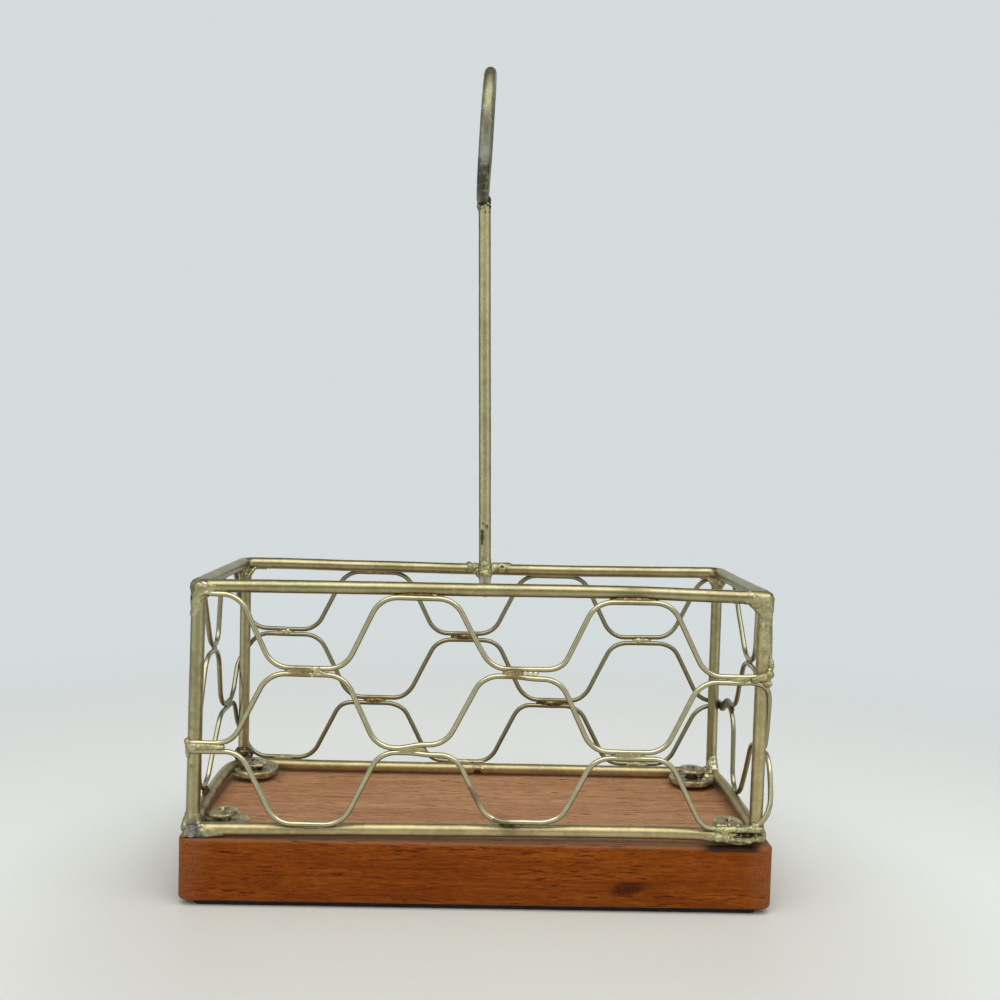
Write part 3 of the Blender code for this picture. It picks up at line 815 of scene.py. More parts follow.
# pushes and pulls on single bends, in mm: side and place along it, reach, move (along, outward, up),
# and how much of it the trough and the crest take
wireNudges = {
    "upper_wire": (
        (0, -2.4, 8.0, (0.0, -2.3, 0.0), 0.0, 1.0), (0, 181.0, 9.0, (0.0, -0.8, 0.0), 1.0, 0.0),
        (0, 101.5, 17.0, (0.0, 0.0, 1.1), 1.0, 0.0), (2, 27.0, 15.0, (0.0, 0.0, -0.3), 1.0, 0.0),
    ),
    "middle_wire": (
        (0, 1.0, 13.0, (0.0, -0.6, 0.35), 1.0, 0.0), (0, 181.0, 9.0, (0.0, -0.8, 0.0), 0.0, 1.0),
        (1, 48.0, 20.0, (0.0, 0.0, 3.6), 1.0, 0.0), (0, 91.0, 18.0, (0.0, 0.0, 0.75), 0.0, 1.0),
        (0, 80.0, 16.0, (0.0, 0.0, 1.2), 1.0, 0.0), (2, 27.0, 15.0, (0.0, 0.0, -0.6), 0.0, 1.0),
        (2, 60.0, 15.0, (0.0, 0.0, -0.4), 1.0, 0.0), (2, 96.0, 15.0, (0.0, 0.0, -0.5), 0.0, 1.0),
        (2, 130.0, 15.0, (0.0, 0.0, -0.7), 1.0, 0.0),
    ),
    "lower_wire": (
        (0, 1.0, 13.0, (0.0, -0.6, -0.35), 0.0, 1.0), (0, 104.5, 17.0, (0.0, 0.0, 1.8), 1.0, 0.0),
        (0, 174.0, 13.0, (0.0, -1.3, 0.4), 1.0, 0.0), (1, 3.5, 8.0, (0.0, 1.7, 0.0), 0.7, 0.7),
        (1, 43.0, 15.0, (0.0, -0.3, -0.2), 1.0, 0.0), (1, 50.0, 10.0, (0.6, 0.0, 0.0), 1.0, 0.0),
        (1, 48.0, 20.0, (0.0, 0.0, 3.6), 0.0, 1.0), (3, 43.0, 20.0, (0.0, 1.1, 2.3), 1.0, 0.0),
        (0, 60.0, 15.0, (0.0, 0.0, 0.6), 0.0, 1.0), (2, 60.0, 15.0, (0.0, 0.0, -0.6), 0.0, 1.0),
        (2, 130.0, 15.0, (0.0, 0.0, -0.9), 0.0, 1.0),
    ),
}
sideNames = ("front", "right", "back", "left")
postLow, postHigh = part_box("post_front_right")
postX = (postLow.x + postHigh.x) / 2 / mm
postY = -(postLow.y + postHigh.y) / 2 / mm
sideLengths = (2 * postX, 2 * postY, 2 * postX, 2 * postY)
cornerArc = math.pi / 2 * wireMake["fromPost"]
sideStarts = tuple(sum(sideLengths[:side]) + side * cornerArc for side in range(4))
around = sum(sideLengths) + 4 * cornerArc


def sideOf(distance):
    return max(index for index in range(4) if distance % around >= sideStarts[index])


def onTrack(distance):
    side = sideOf(distance)
    along = distance % around - sideStarts[side]
    heading = (Vector((1, 0)), Vector((0, 1)), Vector((-1, 0)), Vector((0, -1)))[side]
    outward = Vector((heading.y, -heading.x))
    post = Vector(((-postX, -postY), (postX, -postY), (postX, postY), (-postX, postY))[side])
    straight = min(along, sideLengths[side])
    angle = (along - straight) / wireMake["fromPost"]
    swing = outward * math.cos(angle) + heading * math.sin(angle)
    return post + heading * straight + swing * wireMake["fromPost"]


def flatWave(name):
    bends = wireBends[name]
    low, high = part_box(name + "_front")
    crest, trough = high.z / mm - wireMake["radius"], low.z / mm + wireMake["radius"]
    level, other = (crest, trough) if bends["startsHigh"] else (trough, crest)

    def spaced(ends, length, shift):
        step = (length - sum(ends)) / (wireMake["slopes"] - 1)
        first = ends[0] + shift * wireMake["slope"]
        return [(first + step * index, wireMake["slope"]) for index in range(wireMake["slopes"])]

    def byHand(slopes, length):
        return [(share * length, runs * wireMake["slope"]) for share, runs in slopes]

    slopes = (
        spaced(wireMake["front"], sideLengths[0], bends["shift"]), byHand(bends["right"], sideLengths[1]),
        spaced(wireMake["back"], sideLengths[2], 0.0), byHand(bends["left"], sideLengths[3]),
    )
    still = ((0.0, 0.0),) * wireMake["slopes"]
    ends = (bends["frontEnds"], still, bends["backEnds"], still)
    knots = []
    for start, part, moves in zip(sideStarts, slopes, ends):
        for (distance, length), (first, last) in zip(part, moves):
            centre = start + distance + math.copysign(wireMake["crestExtra"], level - other)
            knots += [(centre - length / 2 + first, level), (centre + length / 2 + last, other)]
            level, other = other, level
    flat = [(knots[-1][0] - around, level), *knots, (knots[0][0] + around, level)]
    wave = roundedRun([(x, 0.0, z) for x, z in flat], wireMake["bend"], wireMake["bendSteps"])[1:-1]
    return sorted((point.x + lap * around, point.z) for lap in (-1, 0, 1) for point in wave)


def heightAt(wave, distance):
    distance %= around
    after = bisect.bisect_left(wave, (distance, 0.0))
    (before, low), (beyond, high) = wave[after - 1], wave[after]
    return low + (high - low) * (distance - before) / max(beyond - before, 1e-9)


def sagAt(distance):
    side = sideOf(distance)
    along = (distance % around - sideStarts[side]) / sideLengths[side]
    return wireMake["backSag"] * math.sin(math.pi * min(max(along, 0.0), 1.0)) ** 0.5 if side == 2 else 0.0


def outwardAt(distance):
    ahead = onTrack(distance + 0.05) - onTrack(distance - 0.05)
    return Vector((ahead.y, -ahead.x, 0.0)).normalized()


def onWire(name, distance):
    height = heightAt(waves[name], distance)
    low, high = wireSpans[name]
    crest = (height * mm - low.z) / (high.z - low.z)
    move = Vector()
    for side, along, reach, push, lowShare, highShare in wireNudges[name]:
        away = abs((distance - sideStarts[side] - along + around / 2) % around - around / 2) / reach
        ease = min(max(2.0 - 2.0 * away, 0.0), 1.0)
        move += Vector(push) * ease * ease * (3.0 - 2.0 * ease) * (lowShare + (highShare - lowShare) * crest)
    at = onTrack(distance + move.x)

    def tremble(pitch, seed):
        return noise.noise(Vector((at.x * pitch, at.y * pitch, height * pitch + seed)))

    seed = len(name) * 1.7
    waver, shiver = tremble(wireMake["waver"], seed * 7.3), tremble(wireMake["shiver"], seed * 3.1)
    shift = wireMake["wobble"] * (waver + 0.4 * shiver)
    point = Vector((at.x, at.y, height - sagAt(distance) + shift + move.z))
    return point + outwardAt(distance + move.x) * (move.y - wireMake["inward"] - abs(shift))


waves = {name: flatWave(name) for name in wireBends}
wireSpans = {name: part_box(name + "_front") for name in wireBends}


def makeWire(name):
    marks = sorted({round(x % around, 3) for x, _ in waves[name]})
    for corner in sideStarts:
        marks += [(corner - cornerArc * index / 6) % around for index in range(7)]
    marks = sorted(marks)
    kept = [marks[0]]
    for mark in marks[1:]:
        if mark - kept[-1] > wireMake["closest"]:
            kept.append(mark)
    filled = []
    for before, after in zip(kept, kept[1:] + [kept[0] + around]):
        count = max(1, round((after - before) / wireMake["step"]))
        filled += [before + (after - before) * index / count for index in range(count)]
    points = [onWire(name, distance) * mm for distance in filled]
    wire = sweep(name, points, wireMake["radius"] * mm, wireMake["sides"], closed=True)
    keepInside(wire)
    nodes = [name + "_" + side for side in sideNames]
    return settle(wire, "wire", nodes, angle=60.0)


wirePieces = [makeWire(name) for name in wireBends]
print("wires:", len(wirePieces))


# where crest meets trough, and where the outer waves meet the rails; gaps between their middles, in mm
jointMake = {"step": 0.5, "shortest": 2.0, "wires": 2.2, "topRail": 2.5, "lowRail": 2.7}


def touching(first, second, gap):
    spans, step = [], jointMake["step"]
    for index in range(int(around / step)):
        distance = index * step
        close = abs(first(distance) - second(distance)) < gap
        if close and spans and distance - spans[-1][1] < 1.01 * step:
            spans[-1][1] = distance
        elif close:
            spans.append([distance, distance])
    if len(spans) > 1 and spans[0][0] < step and around - spans[-1][1] < 2 * step:
        spans[0][0] = spans.pop()[0] - around
    return [(start, end) for start, end in spans if end - start > jointMake["shortest"]]


def waveHeight(name):
    return lambda distance: heightAt(waves[name], distance)


railLow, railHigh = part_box("upper_rail_frame")
topRail = (railLow.z + railHigh.z) / 2 / mm
railLow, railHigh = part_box("lower_rail_frame")
lowRail = (railLow.z + railHigh.z) / 2 / mm
joints = {
    "upper_middle": touching(waveHeight("upper_wire"), waveHeight("middle_wire"), jointMake["wires"]),
    "middle_lower": touching(waveHeight("middle_wire"), waveHeight("lower_wire"), jointMake["wires"]),
    "upper_rail": touching(waveHeight("upper_wire"), lambda distance: topRail, jointMake["topRail"]),
    "lower_rail": touching(waveHeight("lower_wire"), lambda distance: lowRail, jointMake["lowRail"]),
}
print("joints:", sum(len(spans) for spans in joints.values()))


# rods; the lower frame is bent out of true where it sits on the washers
rodMake = {
    "step": 0.9, "sides": 24, "uneven": 0.10, "unevenSize": 5.0, "bend": 4.5, "bendSteps": 8,
    "wobble": 0.14, "straighter": 0.08, "cutEnd": 0.9, "endGap": 0.1, "postReach": 2.0, "barReach": 0.8,
    "thicker": {
        "lower_rail_frame": 1.04, "upper_rail_frame": 1.07, "post_front_left": 1.12, "post_front_right": 1.06,
    },
    "lean": {"post_front_left": (-0.7, 0.35), "post_front_right": (-0.55, 0.1)},  # at the foot and the head
    "paler": {"post_front_right": "low_rail"},
}
railBow = {  # place along the side, then outward and up, in mm
    "front": (
        (-90, 0, -0.5), (-60, 0, -0.1), (-27, 0, 0.4), (20, 0, 0.8),
        (50, 0, 0.9), (70, 0, 0.65), (90, 0, -0.1),
    ),
    "right": ((-35, 0, -0.1), (-15, 0.4, 0.2), (15, 0.5, 0.3), (35, 0, -0.2)),
    "back": ((-90, 0, 0.3), (-75, 0, -0.25), (-60, 0, -0.45), (60, 0, -0.5), (90, 0, -0.3)),
    "left": (
        (-38, 0, -0.6), (-25, 1.1, -0.2), (-8, 2.1, 0.6), (10, 2.5, 1.3), (23, 2.1, 1.4), (35, 0, 0.3),
    ),
}
topBow = {
    "left": ((-38, -1.1, -0.2), (-22, 0, 0), (35, 0, 0)),
    "front": (
        (-90, 0, 0), (-72, 0, 0.2), (-50, 0, 0.35), (18, 0, 0.65), (48, 0, 0.7), (70, 0, 0.35), (90, 0, 0),
    ),
    "back": ((-90, 0, 0), (-72, 0, 0), (-50, 0, -0.3), (18, 0, -0.5), (50, 0, -0.4), (90, 0, 0)),
}


def smooth(share, before, first, second, after):
    leave, arrive = (second - before) / 2, (after - first) / 2
    bend = (first - second) * 2 + leave + arrive
    return first + share * (leave + share * ((second - first) * 3 - leave * 2 - arrive + share * bend))


def bowed(point, bows):
    x, y = point.x / mm, point.y / mm
    onSide = abs(x) - postX > abs(y) - postY or (x < -postX and y < 0)
    side = ("left", "right")[x > 0] if onSide else ("front", "back")[y > 0]
    outward = Vector((math.copysign(1.0, x), 0.0, 0.0))
    if not onSide:
        outward = Vector((0.0, math.copysign(1.0, y), 0.0))
    at = y if onSide else x
    rows = bows.get(side, ((-90, 0, 0), (90, 0, 0)))
    at = min(max(at, rows[0][0]), rows[-1][0])
    for index in range(len(rows) - 1):
        first, second = rows[index:index + 2]
        if first[0] <= at <= second[0]:
            before, after = rows[max(index - 1, 0)], rows[min(index + 2, len(rows) - 1)]
            near = (before, first, second, after)
            share = (at - first[0]) / (second[0] - first[0])
            out, up = (smooth(share, *(row[axis] for row in near)) for axis in (1, 2))
            return point + (outward * out + Vector((0.0, 0.0, up))) * mm


def rodPath(points, seed, wobble):
    step = rodMake["step"] * mm
    out = []
    for point in refined([Vector(point) for point in points], step):
        place = point / mm * 0.03
        drift = Vector([noise.noise(place + Vector((seed * 5.1, axis * 9.7, 0.0))) for axis in range(3)])
        out.append(point + drift * wobble * mm)
    return out


def makeRails(node, seed):
    low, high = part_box(node)
    radius = (high.z - low.z) / 2
    inner = Vector((radius, radius, radius))
    low, high = low + inner, high - inner
    gap, past = rodMake["endGap"] * mm, rodMake["cutEnd"] * mm
    corners = (
        (low.x + radius + gap, low.y, low.z), (high.x, low.y, low.z), (high.x, high.y, low.z),
        (low.x, high.y, low.z), (low.x, -postY * mm - radius - past, low.z),
    )
    bent = roundedRun(corners, rodMake["bend"] * mm, rodMake["bendSteps"])
    lower = node == "lower_rail_frame"
    path = [bowed(point, railBow if lower else topBow) for point in rodPath(bent, seed, rodMake["wobble"])]
    rails = sweep(node, path, radius * rodMake["thicker"][node], rodMake["sides"])
    roughen(rails, rodMake["uneven"], rodMake["unevenSize"])
    keepInside(rails)
    return settle(rails, "low_rail" if lower else "rod", (node,), angle=50.0)


def makeRod(node, start, end, radius, seed, finish="rod"):
    path = rodPath((start, end), seed, rodMake["straighter"])
    rod = sweep(node, path, radius, rodMake["sides"])
    roughen(rod, rodMake["uneven"], rodMake["unevenSize"])
    return settle(rod, finish, (node,), angle=50.0)


def makePost(node, seed):
    low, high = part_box(node)
    x, y = (low.x + high.x) / 2, (low.y + high.y) / 2
    reach = rodMake["postReach"] * mm  # into the rails, under the weld
    radius = (high.x - low.x) / 2 * rodMake["thicker"].get(node, 1.0)
    foot, head = (x + aside * mm for aside in rodMake["lean"].get(node, (0.0, 0.0)))
    finish = rodMake["paler"].get(node, "rod")
    return makeRod(node, (foot, y, low.z - reach), (head, y, high.z + reach), radius, seed, finish)


rods = [makeRails("lower_rail_frame", 1), makeRails("upper_rail_frame", 2)]
for index, corner in enumerate(("front_left", "front_right", "back_left", "back_right")):
    rods.append(makePost("post_" + corner, index + 3))
barLow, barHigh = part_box("crossbar")
barMiddle = (barLow + barHigh) / 2
reach = rodMake["barReach"] * mm
rods.append(makeRod(
    "crossbar", (barMiddle.x, barLow.y - reach, barMiddle.z), (barMiddle.x, barHigh.y + reach, barMiddle.z),
    (barHigh.x - barLow.x) / 2, 8,
))
gripLow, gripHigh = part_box("handle_post")
gripRadius = (gripHigh.y - gripLow.y) / 2
gripFoot = Vector((gripHigh.x - gripRadius, 0.0, gripLow.z - reach))
gripHead = Vector((gripLow.x + gripRadius, 0.0, gripHigh.z + reach))
rods.append(makeRod("handle_post", gripFoot, gripHead, gripRadius, 9, "grip"))


# the ring was welded on a little askew: degrees, then mm
ringMake = {
    "turn": 0.2, "lean": 1.6, "smaller": 0.6, "aside": -0.25, "uneven": 0.10, "unevenSize": 3.0,
    "steps": 96, "thinner": 0.985,
}


def makeRing():
    low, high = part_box("handle_ring")
    centre = (low + high) / 2 + Vector((ringMake["aside"], 0.0, -ringMake["smaller"])) * mm
    span = (high.y - low.y) / 2 - gripRadius
    lean = math.asin((high.x - low.x - 2 * gripRadius) / 2 / span) + math.radians(ringMake["lean"])
    span -= ringMake["smaller"] * mm
    turn = math.radians(ringMake["turn"])
    upward = Vector((math.sin(lean), 0.0, math.cos(lean)))
    aside = Vector((math.sin(turn), math.cos(turn), 0.0))
    points = []
    for index in range(ringMake["steps"]):
        angle = 2 * math.pi * index / ringMake["steps"]
        points.append(centre + span * (math.cos(angle) * aside + math.sin(angle) * upward))
    ring = sweep("handle_ring", points, gripRadius * ringMake["thinner"], rodMake["sides"], closed=True)
    roughen(ring, ringMake["uneven"], ringMake["unevenSize"])
    return settle(ring, "ring", ("handle_ring",), angle=50.0)


rods.append(makeRing())
print("rods:", len(rods))


# welds of the rods: each lump is (x, y, z, half width, half depth, half height), in mm
rodWelds = {
    "weld_top_front_left": ("weld", (
        *run((-80.5, -35.6, 101.9), (-86.0, -35.6, 101.9), 2.15, 2.3),
        *run((-86.0, -35.6, 101.8), (-89.2, -35.6, 101.5), 2.35, 2.6),
        *run((-89.4, -35.5, 100.5), (-90.0, -35.1, 93.0), 2.6, 2.2),
        *run((-90.3, -34.5, 101.8), (-90.6, -30.0, 101.95), 2.25, 2.03), (-86.2, -36.8, 99.9, 2.8, 1.3, 0.8),
        (-88.0, -35.8, 102.8, 2.6, 1.8, 1.2), (-87.2, -35.8, 99.4, 1.5, 1.6, 1.3),
        (-88.8, -36.3, 101.8, 2.3, 2.2, 2.1), (-89.6, -36.2, 99.6, 2.2, 2.1, 2.4),
    )),
    # painted highlight: a pale lump on the elbow, where the light catches the corner
    "weld_top_front_left_cap": ("bright", (
        (-87.4, -36.6, 102.4, 2.3, 1.6, 1.5), (-88.8, -36.8, 101.0, 1.3, 1.3, 1.5),
    )),
    "weld_top_front_right": ("weld", (
        *run((78.5, -35.6, 102.0), (86.0, -35.6, 101.9), 2.12, 2.3),
        *run((86.0, -35.6, 101.8), (90.0, -35.6, 101.3), 2.35, 2.7),
        *run((90.3, -35.3, 101.0), (90.3, -35.1, 94.0), 2.7, 2.3),
        *run((90.3, -35.1, 94.0), (90.1, -35.0, 79.5), 2.3, 2.12),
        *run((85.6, -35.5, 100.4), (88.8, -35.3, 97.6), 1.3, 1.5), (87.4, -35.6, 99.6, 1.7, 2.0, 1.4),
        *run((90.6, -34.5, 101.8), (90.6, -29.0, 101.95), 2.35, 2.05), (91.6, -35.8, 85.6, 0.9, 1.3, 2.2),
    )),
    "weld_wires_front_right": ("weld", (
        (89.6, -37.2, 76.6, 2.8, 1.6, 1.5), (91.6, -36.8, 77.6, 1.7, 1.8, 1.5),
        (91.0, -37.0, 74.6, 1.8, 1.8, 1.4), (87.0, -37.8, 75.9, 1.6, 1.1, 1.2),
        (92.4, -35.6, 80.4, 1.1, 1.3, 2.4),
    )),
    "weld_wires_front_left": ("weld", (
        (-89.8, -37.1, 51.0, 2.8, 1.6, 1.7), (-92.2, -36.0, 52.4, 1.2, 1.8, 1.3),
        (-91.9, -36.0, 48.8, 1.0, 1.7, 2.0),
        *run((-88.5, -37.8, 51.3), (-81.0, -37.9, 51.2), 1.15, 0.95, 0.8),
        (-90.6, -36.9, 45.2, 0.9, 0.7, 1.2),
    )),
    "weld_top_back_left": ("weld", (
        *run((-90.0, 35.1, 100.6), (-90.0, 35.0, 95.4), 2.3, 2.08),
        *run((-89.4, 34.4, 95.6), (-86.6, 34.8, 100.3), 0.75, 0.9),
        *run((-86.6, 34.8, 100.3), (-82.6, 35.4, 100.0), 0.9, 0.6),
        *run((-91.2, 34.0, 95.8), (-92.4, 32.4, 100.4), 0.8, 0.9),
        *run((-90.4, 33.2, 101.8), (-90.5, 30.0, 101.9), 2.2, 2.03),
        *run((-90.0, 33.0, 96.6), (-88.8, 32.8, 100.6), 0.6, 0.8), (-91.0, 32.6, 99.6, 0.9, 0.9, 1.0),
    )),
    # thin pale strands where the wires meet the post: partly wire ends and tacks, partly painted highlight
    "weld_strands_back_left": ("bright", (
        *run((-89.2, 32.4, 96.8), (-86.2, 33.2, 100.4), 0.5, 0.6),
        *run((-89.0, 32.4, 97.0), (-90.8, 32.2, 100.2), 0.45, 0.55),
        *run((-92.8, 31.4, 100.4), (-91.4, 31.8, 96.4), 0.55, 0.5),
    )),
    "weld_top_back_right": ("weld", (
        *run((90.0, 35.1, 100.6), (90.0, 35.0, 95.6), 2.35, 2.08),
        *run((90.8, 33.8, 95.8), (93.0, 32.0, 100.2), 0.8, 0.95),
        *run((89.2, 34.2, 96.0), (86.6, 34.8, 100.2), 0.8, 0.9),
        *run((86.6, 34.8, 100.2), (84.2, 35.6, 99.8), 0.9, 0.6),
        *run((90.5, 33.2, 101.8), (90.6, 30.0, 101.9), 2.2, 2.03), (90.4, 32.6, 99.0, 0.8, 0.8, 1.6),
    )),
    "weld_bottom_front_left": ("weld", (
        *run((-81.5, -35.6, 24.0), (-88.2, -35.7, 23.7), 2.2, 2.6),
        *run((-90.2, -34.0, 24.0), (-90.0, -35.2, 28.0), 2.6, 2.25),
        *run((-91.4, -35.2, 31.0), (-92.4, -35.6, 25.0), 1.0, 2.0), (-88.6, -36.4, 22.9, 1.9, 1.7, 1.3),
        (-87.6, -36.6, 25.6, 1.5, 1.3, 0.9), (-92.4, -36.8, 22.8, 1.2, 1.5, 1.0),
        (-85.4, -37.2, 22.8, 1.4, 0.9, 0.8), (-92.6, -37.2, 25.4, 0.8, 0.9, 0.9),
        (-88.4, -37.8, 24.6, 0.6, 0.6, 1.4),
    )),
    "weld_washer_front_left": ("scorch", (
        (-88.4, -30.6, 25.0, 1.4, 2.0, 1.5), (-87.4, -28.6, 24.0, 1.9, 1.7, 0.9),
        (-86.0, -27.0, 23.6, 1.5, 1.6, 0.7), (-88.6, -33.0, 25.6, 1.0, 1.4, 1.4),
    )),
    "weld_bottom_front_right": ("weld", (
        *run((72.5, -35.6, 25.2), (79.0, -35.7, 24.9), 2.15, 2.25),
        *run((90.4, -35.2, 24.6), (90.0, -35.0, 28.8), 2.3, 2.1),
        *run((76.4, -37.3, 27.6), (90.5, -37.2, 27.6), 1.0, 1.2),
        *run((78.0, -33.6, 26.8), (87.0, -32.8, 26.2), 1.7, 1.4), (79.0, -36.8, 27.0, 1.8, 1.7, 1.4),
        (82.0, -36.9, 27.8, 1.6, 1.7, 1.1), (84.8, -37.5, 27.7, 1.4, 1.2, 1.0),
        (87.4, -36.8, 28.0, 1.9, 1.6, 1.0), (79.6, -37.3, 24.8, 1.5, 1.4, 1.5),
        (77.0, -37.0, 24.6, 1.5, 1.3, 1.3), (83.6, -34.6, 28.0, 1.6, 1.2, 0.7),
        (79.0, -31.9, 26.4, 1.6, 1.2, 0.8), (81.0, -34.4, 28.1, 0.9, 0.8, 0.6),
        (88.8, -34.0, 28.6, 1.3, 1.4, 1.2), (81.8, -37.5, 24.2, 1.1, 1.0, 0.8),
        (91.6, -36.4, 25.6, 1.0, 1.4, 1.9), (84.0, -37.0, 23.9, 1.4, 1.0, 0.9),
        (86.6, -37.0, 23.7, 1.6, 1.0, 0.8), (89.2, -36.8, 24.1, 1.4, 1.0, 0.8),
        (88.2, -37.6, 29.2, 0.8, 0.7, 0.9),
    )),
    # painted shade: near-black lumps that darken the crevice below the weld lumps
    "weld_crevice_front_right": ("scorch", (
        (82.6, -37.2, 25.3, 1.0, 0.9, 0.5), (84.2, -37.1, 25.7, 1.4, 1.1, 0.8),
        (86.4, -37.1, 25.7, 1.5, 1.1, 0.9), (88.6, -37.0, 25.9, 1.6, 1.0, 0.7),
        (90.6, -36.8, 26.0, 1.2, 0.9, 0.5),
    )),
    "weld_washer_back_right": ("bright", (
        (86.4, 27.8, 25.6, 2.4, 2.6, 1.4), (85.0, 24.8, 25.2, 1.6, 1.7, 1.0),
        (88.2, 30.6, 26.0, 1.9, 2.2, 1.4),
    )),
    "weld_bottom_back_left": ("scorch", (
        (-90.0, 34.4, 29.4, 3.2, 3.2, 2.4), (-88.0, 34.0, 28.6, 1.9, 2.2, 2.0),
        (-91.6, 33.6, 28.0, 1.6, 2.0, 1.8), (-89.0, 33.4, 26.8, 2.2, 2.2, 1.5),
    )),
    "weld_bottom_back_right": ("bright", (
        *run((90.3, 33.4, 26.3), (90.1, 34.6, 30.6), 2.3, 1.9), (90.9, 32.4, 26.6, 1.5, 1.8, 1.3),
        (88.4, 35.2, 26.0, 1.8, 1.9, 1.1),
    )),
    "weld_crossbar_back": ("weld", (
        *run((0.8, 30.5, 101.95), (0.8, 34.6, 101.9), 2.1, 2.7), (-2.8, 34.8, 101.8, 2.3, 2.3, 2.2),
        (-5.2, 35.5, 102.2, 1.6, 2.1, 2.1), (-2.0, 32.4, 101.2, 1.4, 1.8, 1.3),
        (3.6, 34.9, 101.6, 2.0, 2.0, 1.8),
    )),
    "weld_crossbar_spatter": ("weld", (
        *run((4.6, 35.6, 102.0), (9.8, 35.6, 102.0), 2.2, 2.15), (6.0, 33.9, 102.6, 0.9, 0.7, 0.8),
        (8.2, 33.9, 101.6, 0.8, 0.6, 0.9),
    )),
    "weld_crossbar_front": ("weld", (
        *run((0.8, -30.8, 102.1), (0.8, -34.2, 102.6), 2.1, 2.2), (-1.4, -34.0, 102.4, 1.2, 1.4, 1.2),
    )),
    "weld_handle_foot": ("weld", (
        *run((0.8, -1.8, 102.5), (0.8, 1.8, 102.5), 2.3, 2.3),
        *run((0.8, 0.0, 103.6), (0.68, 0.0, 108.4), 2.6, 2.2), (-1.4, 0.6, 103.4, 1.2, 1.6, 1.1),
    )),
    "weld_rail_back": ("bright", (
        *run((-9.4, 36.8, 26.7), (2.4, 36.8, 26.5), 0.55, 0.5, 0.8), (-0.3, 33.9, 25.0, 2.3, 0.9, 1.0),
        (1.4, 33.9, 24.6, 1.3, 0.8, 0.8),
    )),
    "weld_ring": ("scorch", (
        *run((-2.35, 0.0, 232.6), (-2.25, 0.0, 228.4), 2.3, 2.15), (-4.0, 0.2, 230.8, 1.0, 1.3, 1.9),
    )),
}
bareSpots = spotted((  # cut ends and ground steel at the front left corner
    (-90.1, -37.9, 24.4, 3.2, 1.0), (-87.6, -37.9, 22.6, 2.2, 0.7), (-92.6, -36.0, 26.0, 1.8, 0.6),
))
darkSpots = spotted((  # cut end at the top, painted shade in the crevice at the front right, smudges on the handle, the front wires and the back rails, and the left lower rail darkened along its length
    (-91.4, -37.6, 101.2, 1.6, 1.0), (-91.8, -36.6, 98.2, 1.4, 0.8), (85.4, -37.8, 25.7, 1.1, 1.3),
    (87.8, -37.8, 25.8, 1.1, 1.3), (-0.6, -2.1, 118.4, 0.9, 1.4), (-0.5, -2.1, 116.4, 1.0, 1.4),
    (-0.7, -2.1, 114.6, 0.8, 1.3), (1.0, -2.0, 120.2, 0.8, 1.1), (-0.4, -2.1, 121.4, 0.6, 1.0),
    (-0.2, -2.2, 109.2, 1.1, 0.7), (5.6, 33.4, 101.2, 0.9, 1.2), (7.4, 33.4, 102.8, 0.8, 1.1),
    (9.2, 33.4, 101.4, 0.9, 1.2), (-6.0, 33.6, 101.2, 0.9, 1.0), (-3.1, -38.6, 40.4, 1.5, 0.9),
    (-1.7, -38.6, 38.2, 1.7, 1.4), (-0.3, -38.6, 36.2, 1.7, 1.3), (1.0, -38.6, 34.0, 1.4, 0.8),
    (6.0, -38.6, 29.4, 1.7, 1.1), (8.4, -38.6, 28.8, 1.7, 1.2), (-0.2, 33.4, 23.2, 1.6, 1.3),
    *((-90.0, y, 25.4, 5.0, 0.55) for y in (-21.0, -12.0, -2.0, 8.0, 17.0, 25.0)),
))
weldMake = {"soft": 6, "rough": 0.45, "grain": 1.1, "voxel": 0.25}
weldHeat = {"reach": 5.0, "share": 0.4}  # burnt paint round each weld
for name, (finish, blobs) in rodWelds.items():
    piece = bead(name, blobs, finish, **weldMake)
    heatSpots.append((Vector(blobs[0][:3]) * mm, weldHeat["reach"] * mm, weldHeat["share"]))
    markSpots(piece, "scald", darkSpots)
    markSpots(piece, "bare", bareSpots)
print("rod welds:", len(rodWelds))


# braze between the wires: the share of the touching span that is filled, its finish, how burnt the paint
# round it is, then lumps as (share along the span, outward, up, half length, half depth, half height), in mm
def brazed(fill, finish, burn, *lumps, tall=1.25, size=1.0):
    return {"fill": fill, "finish": finish, "burn": burn, "lumps": lumps, "tall": tall, "size": size}


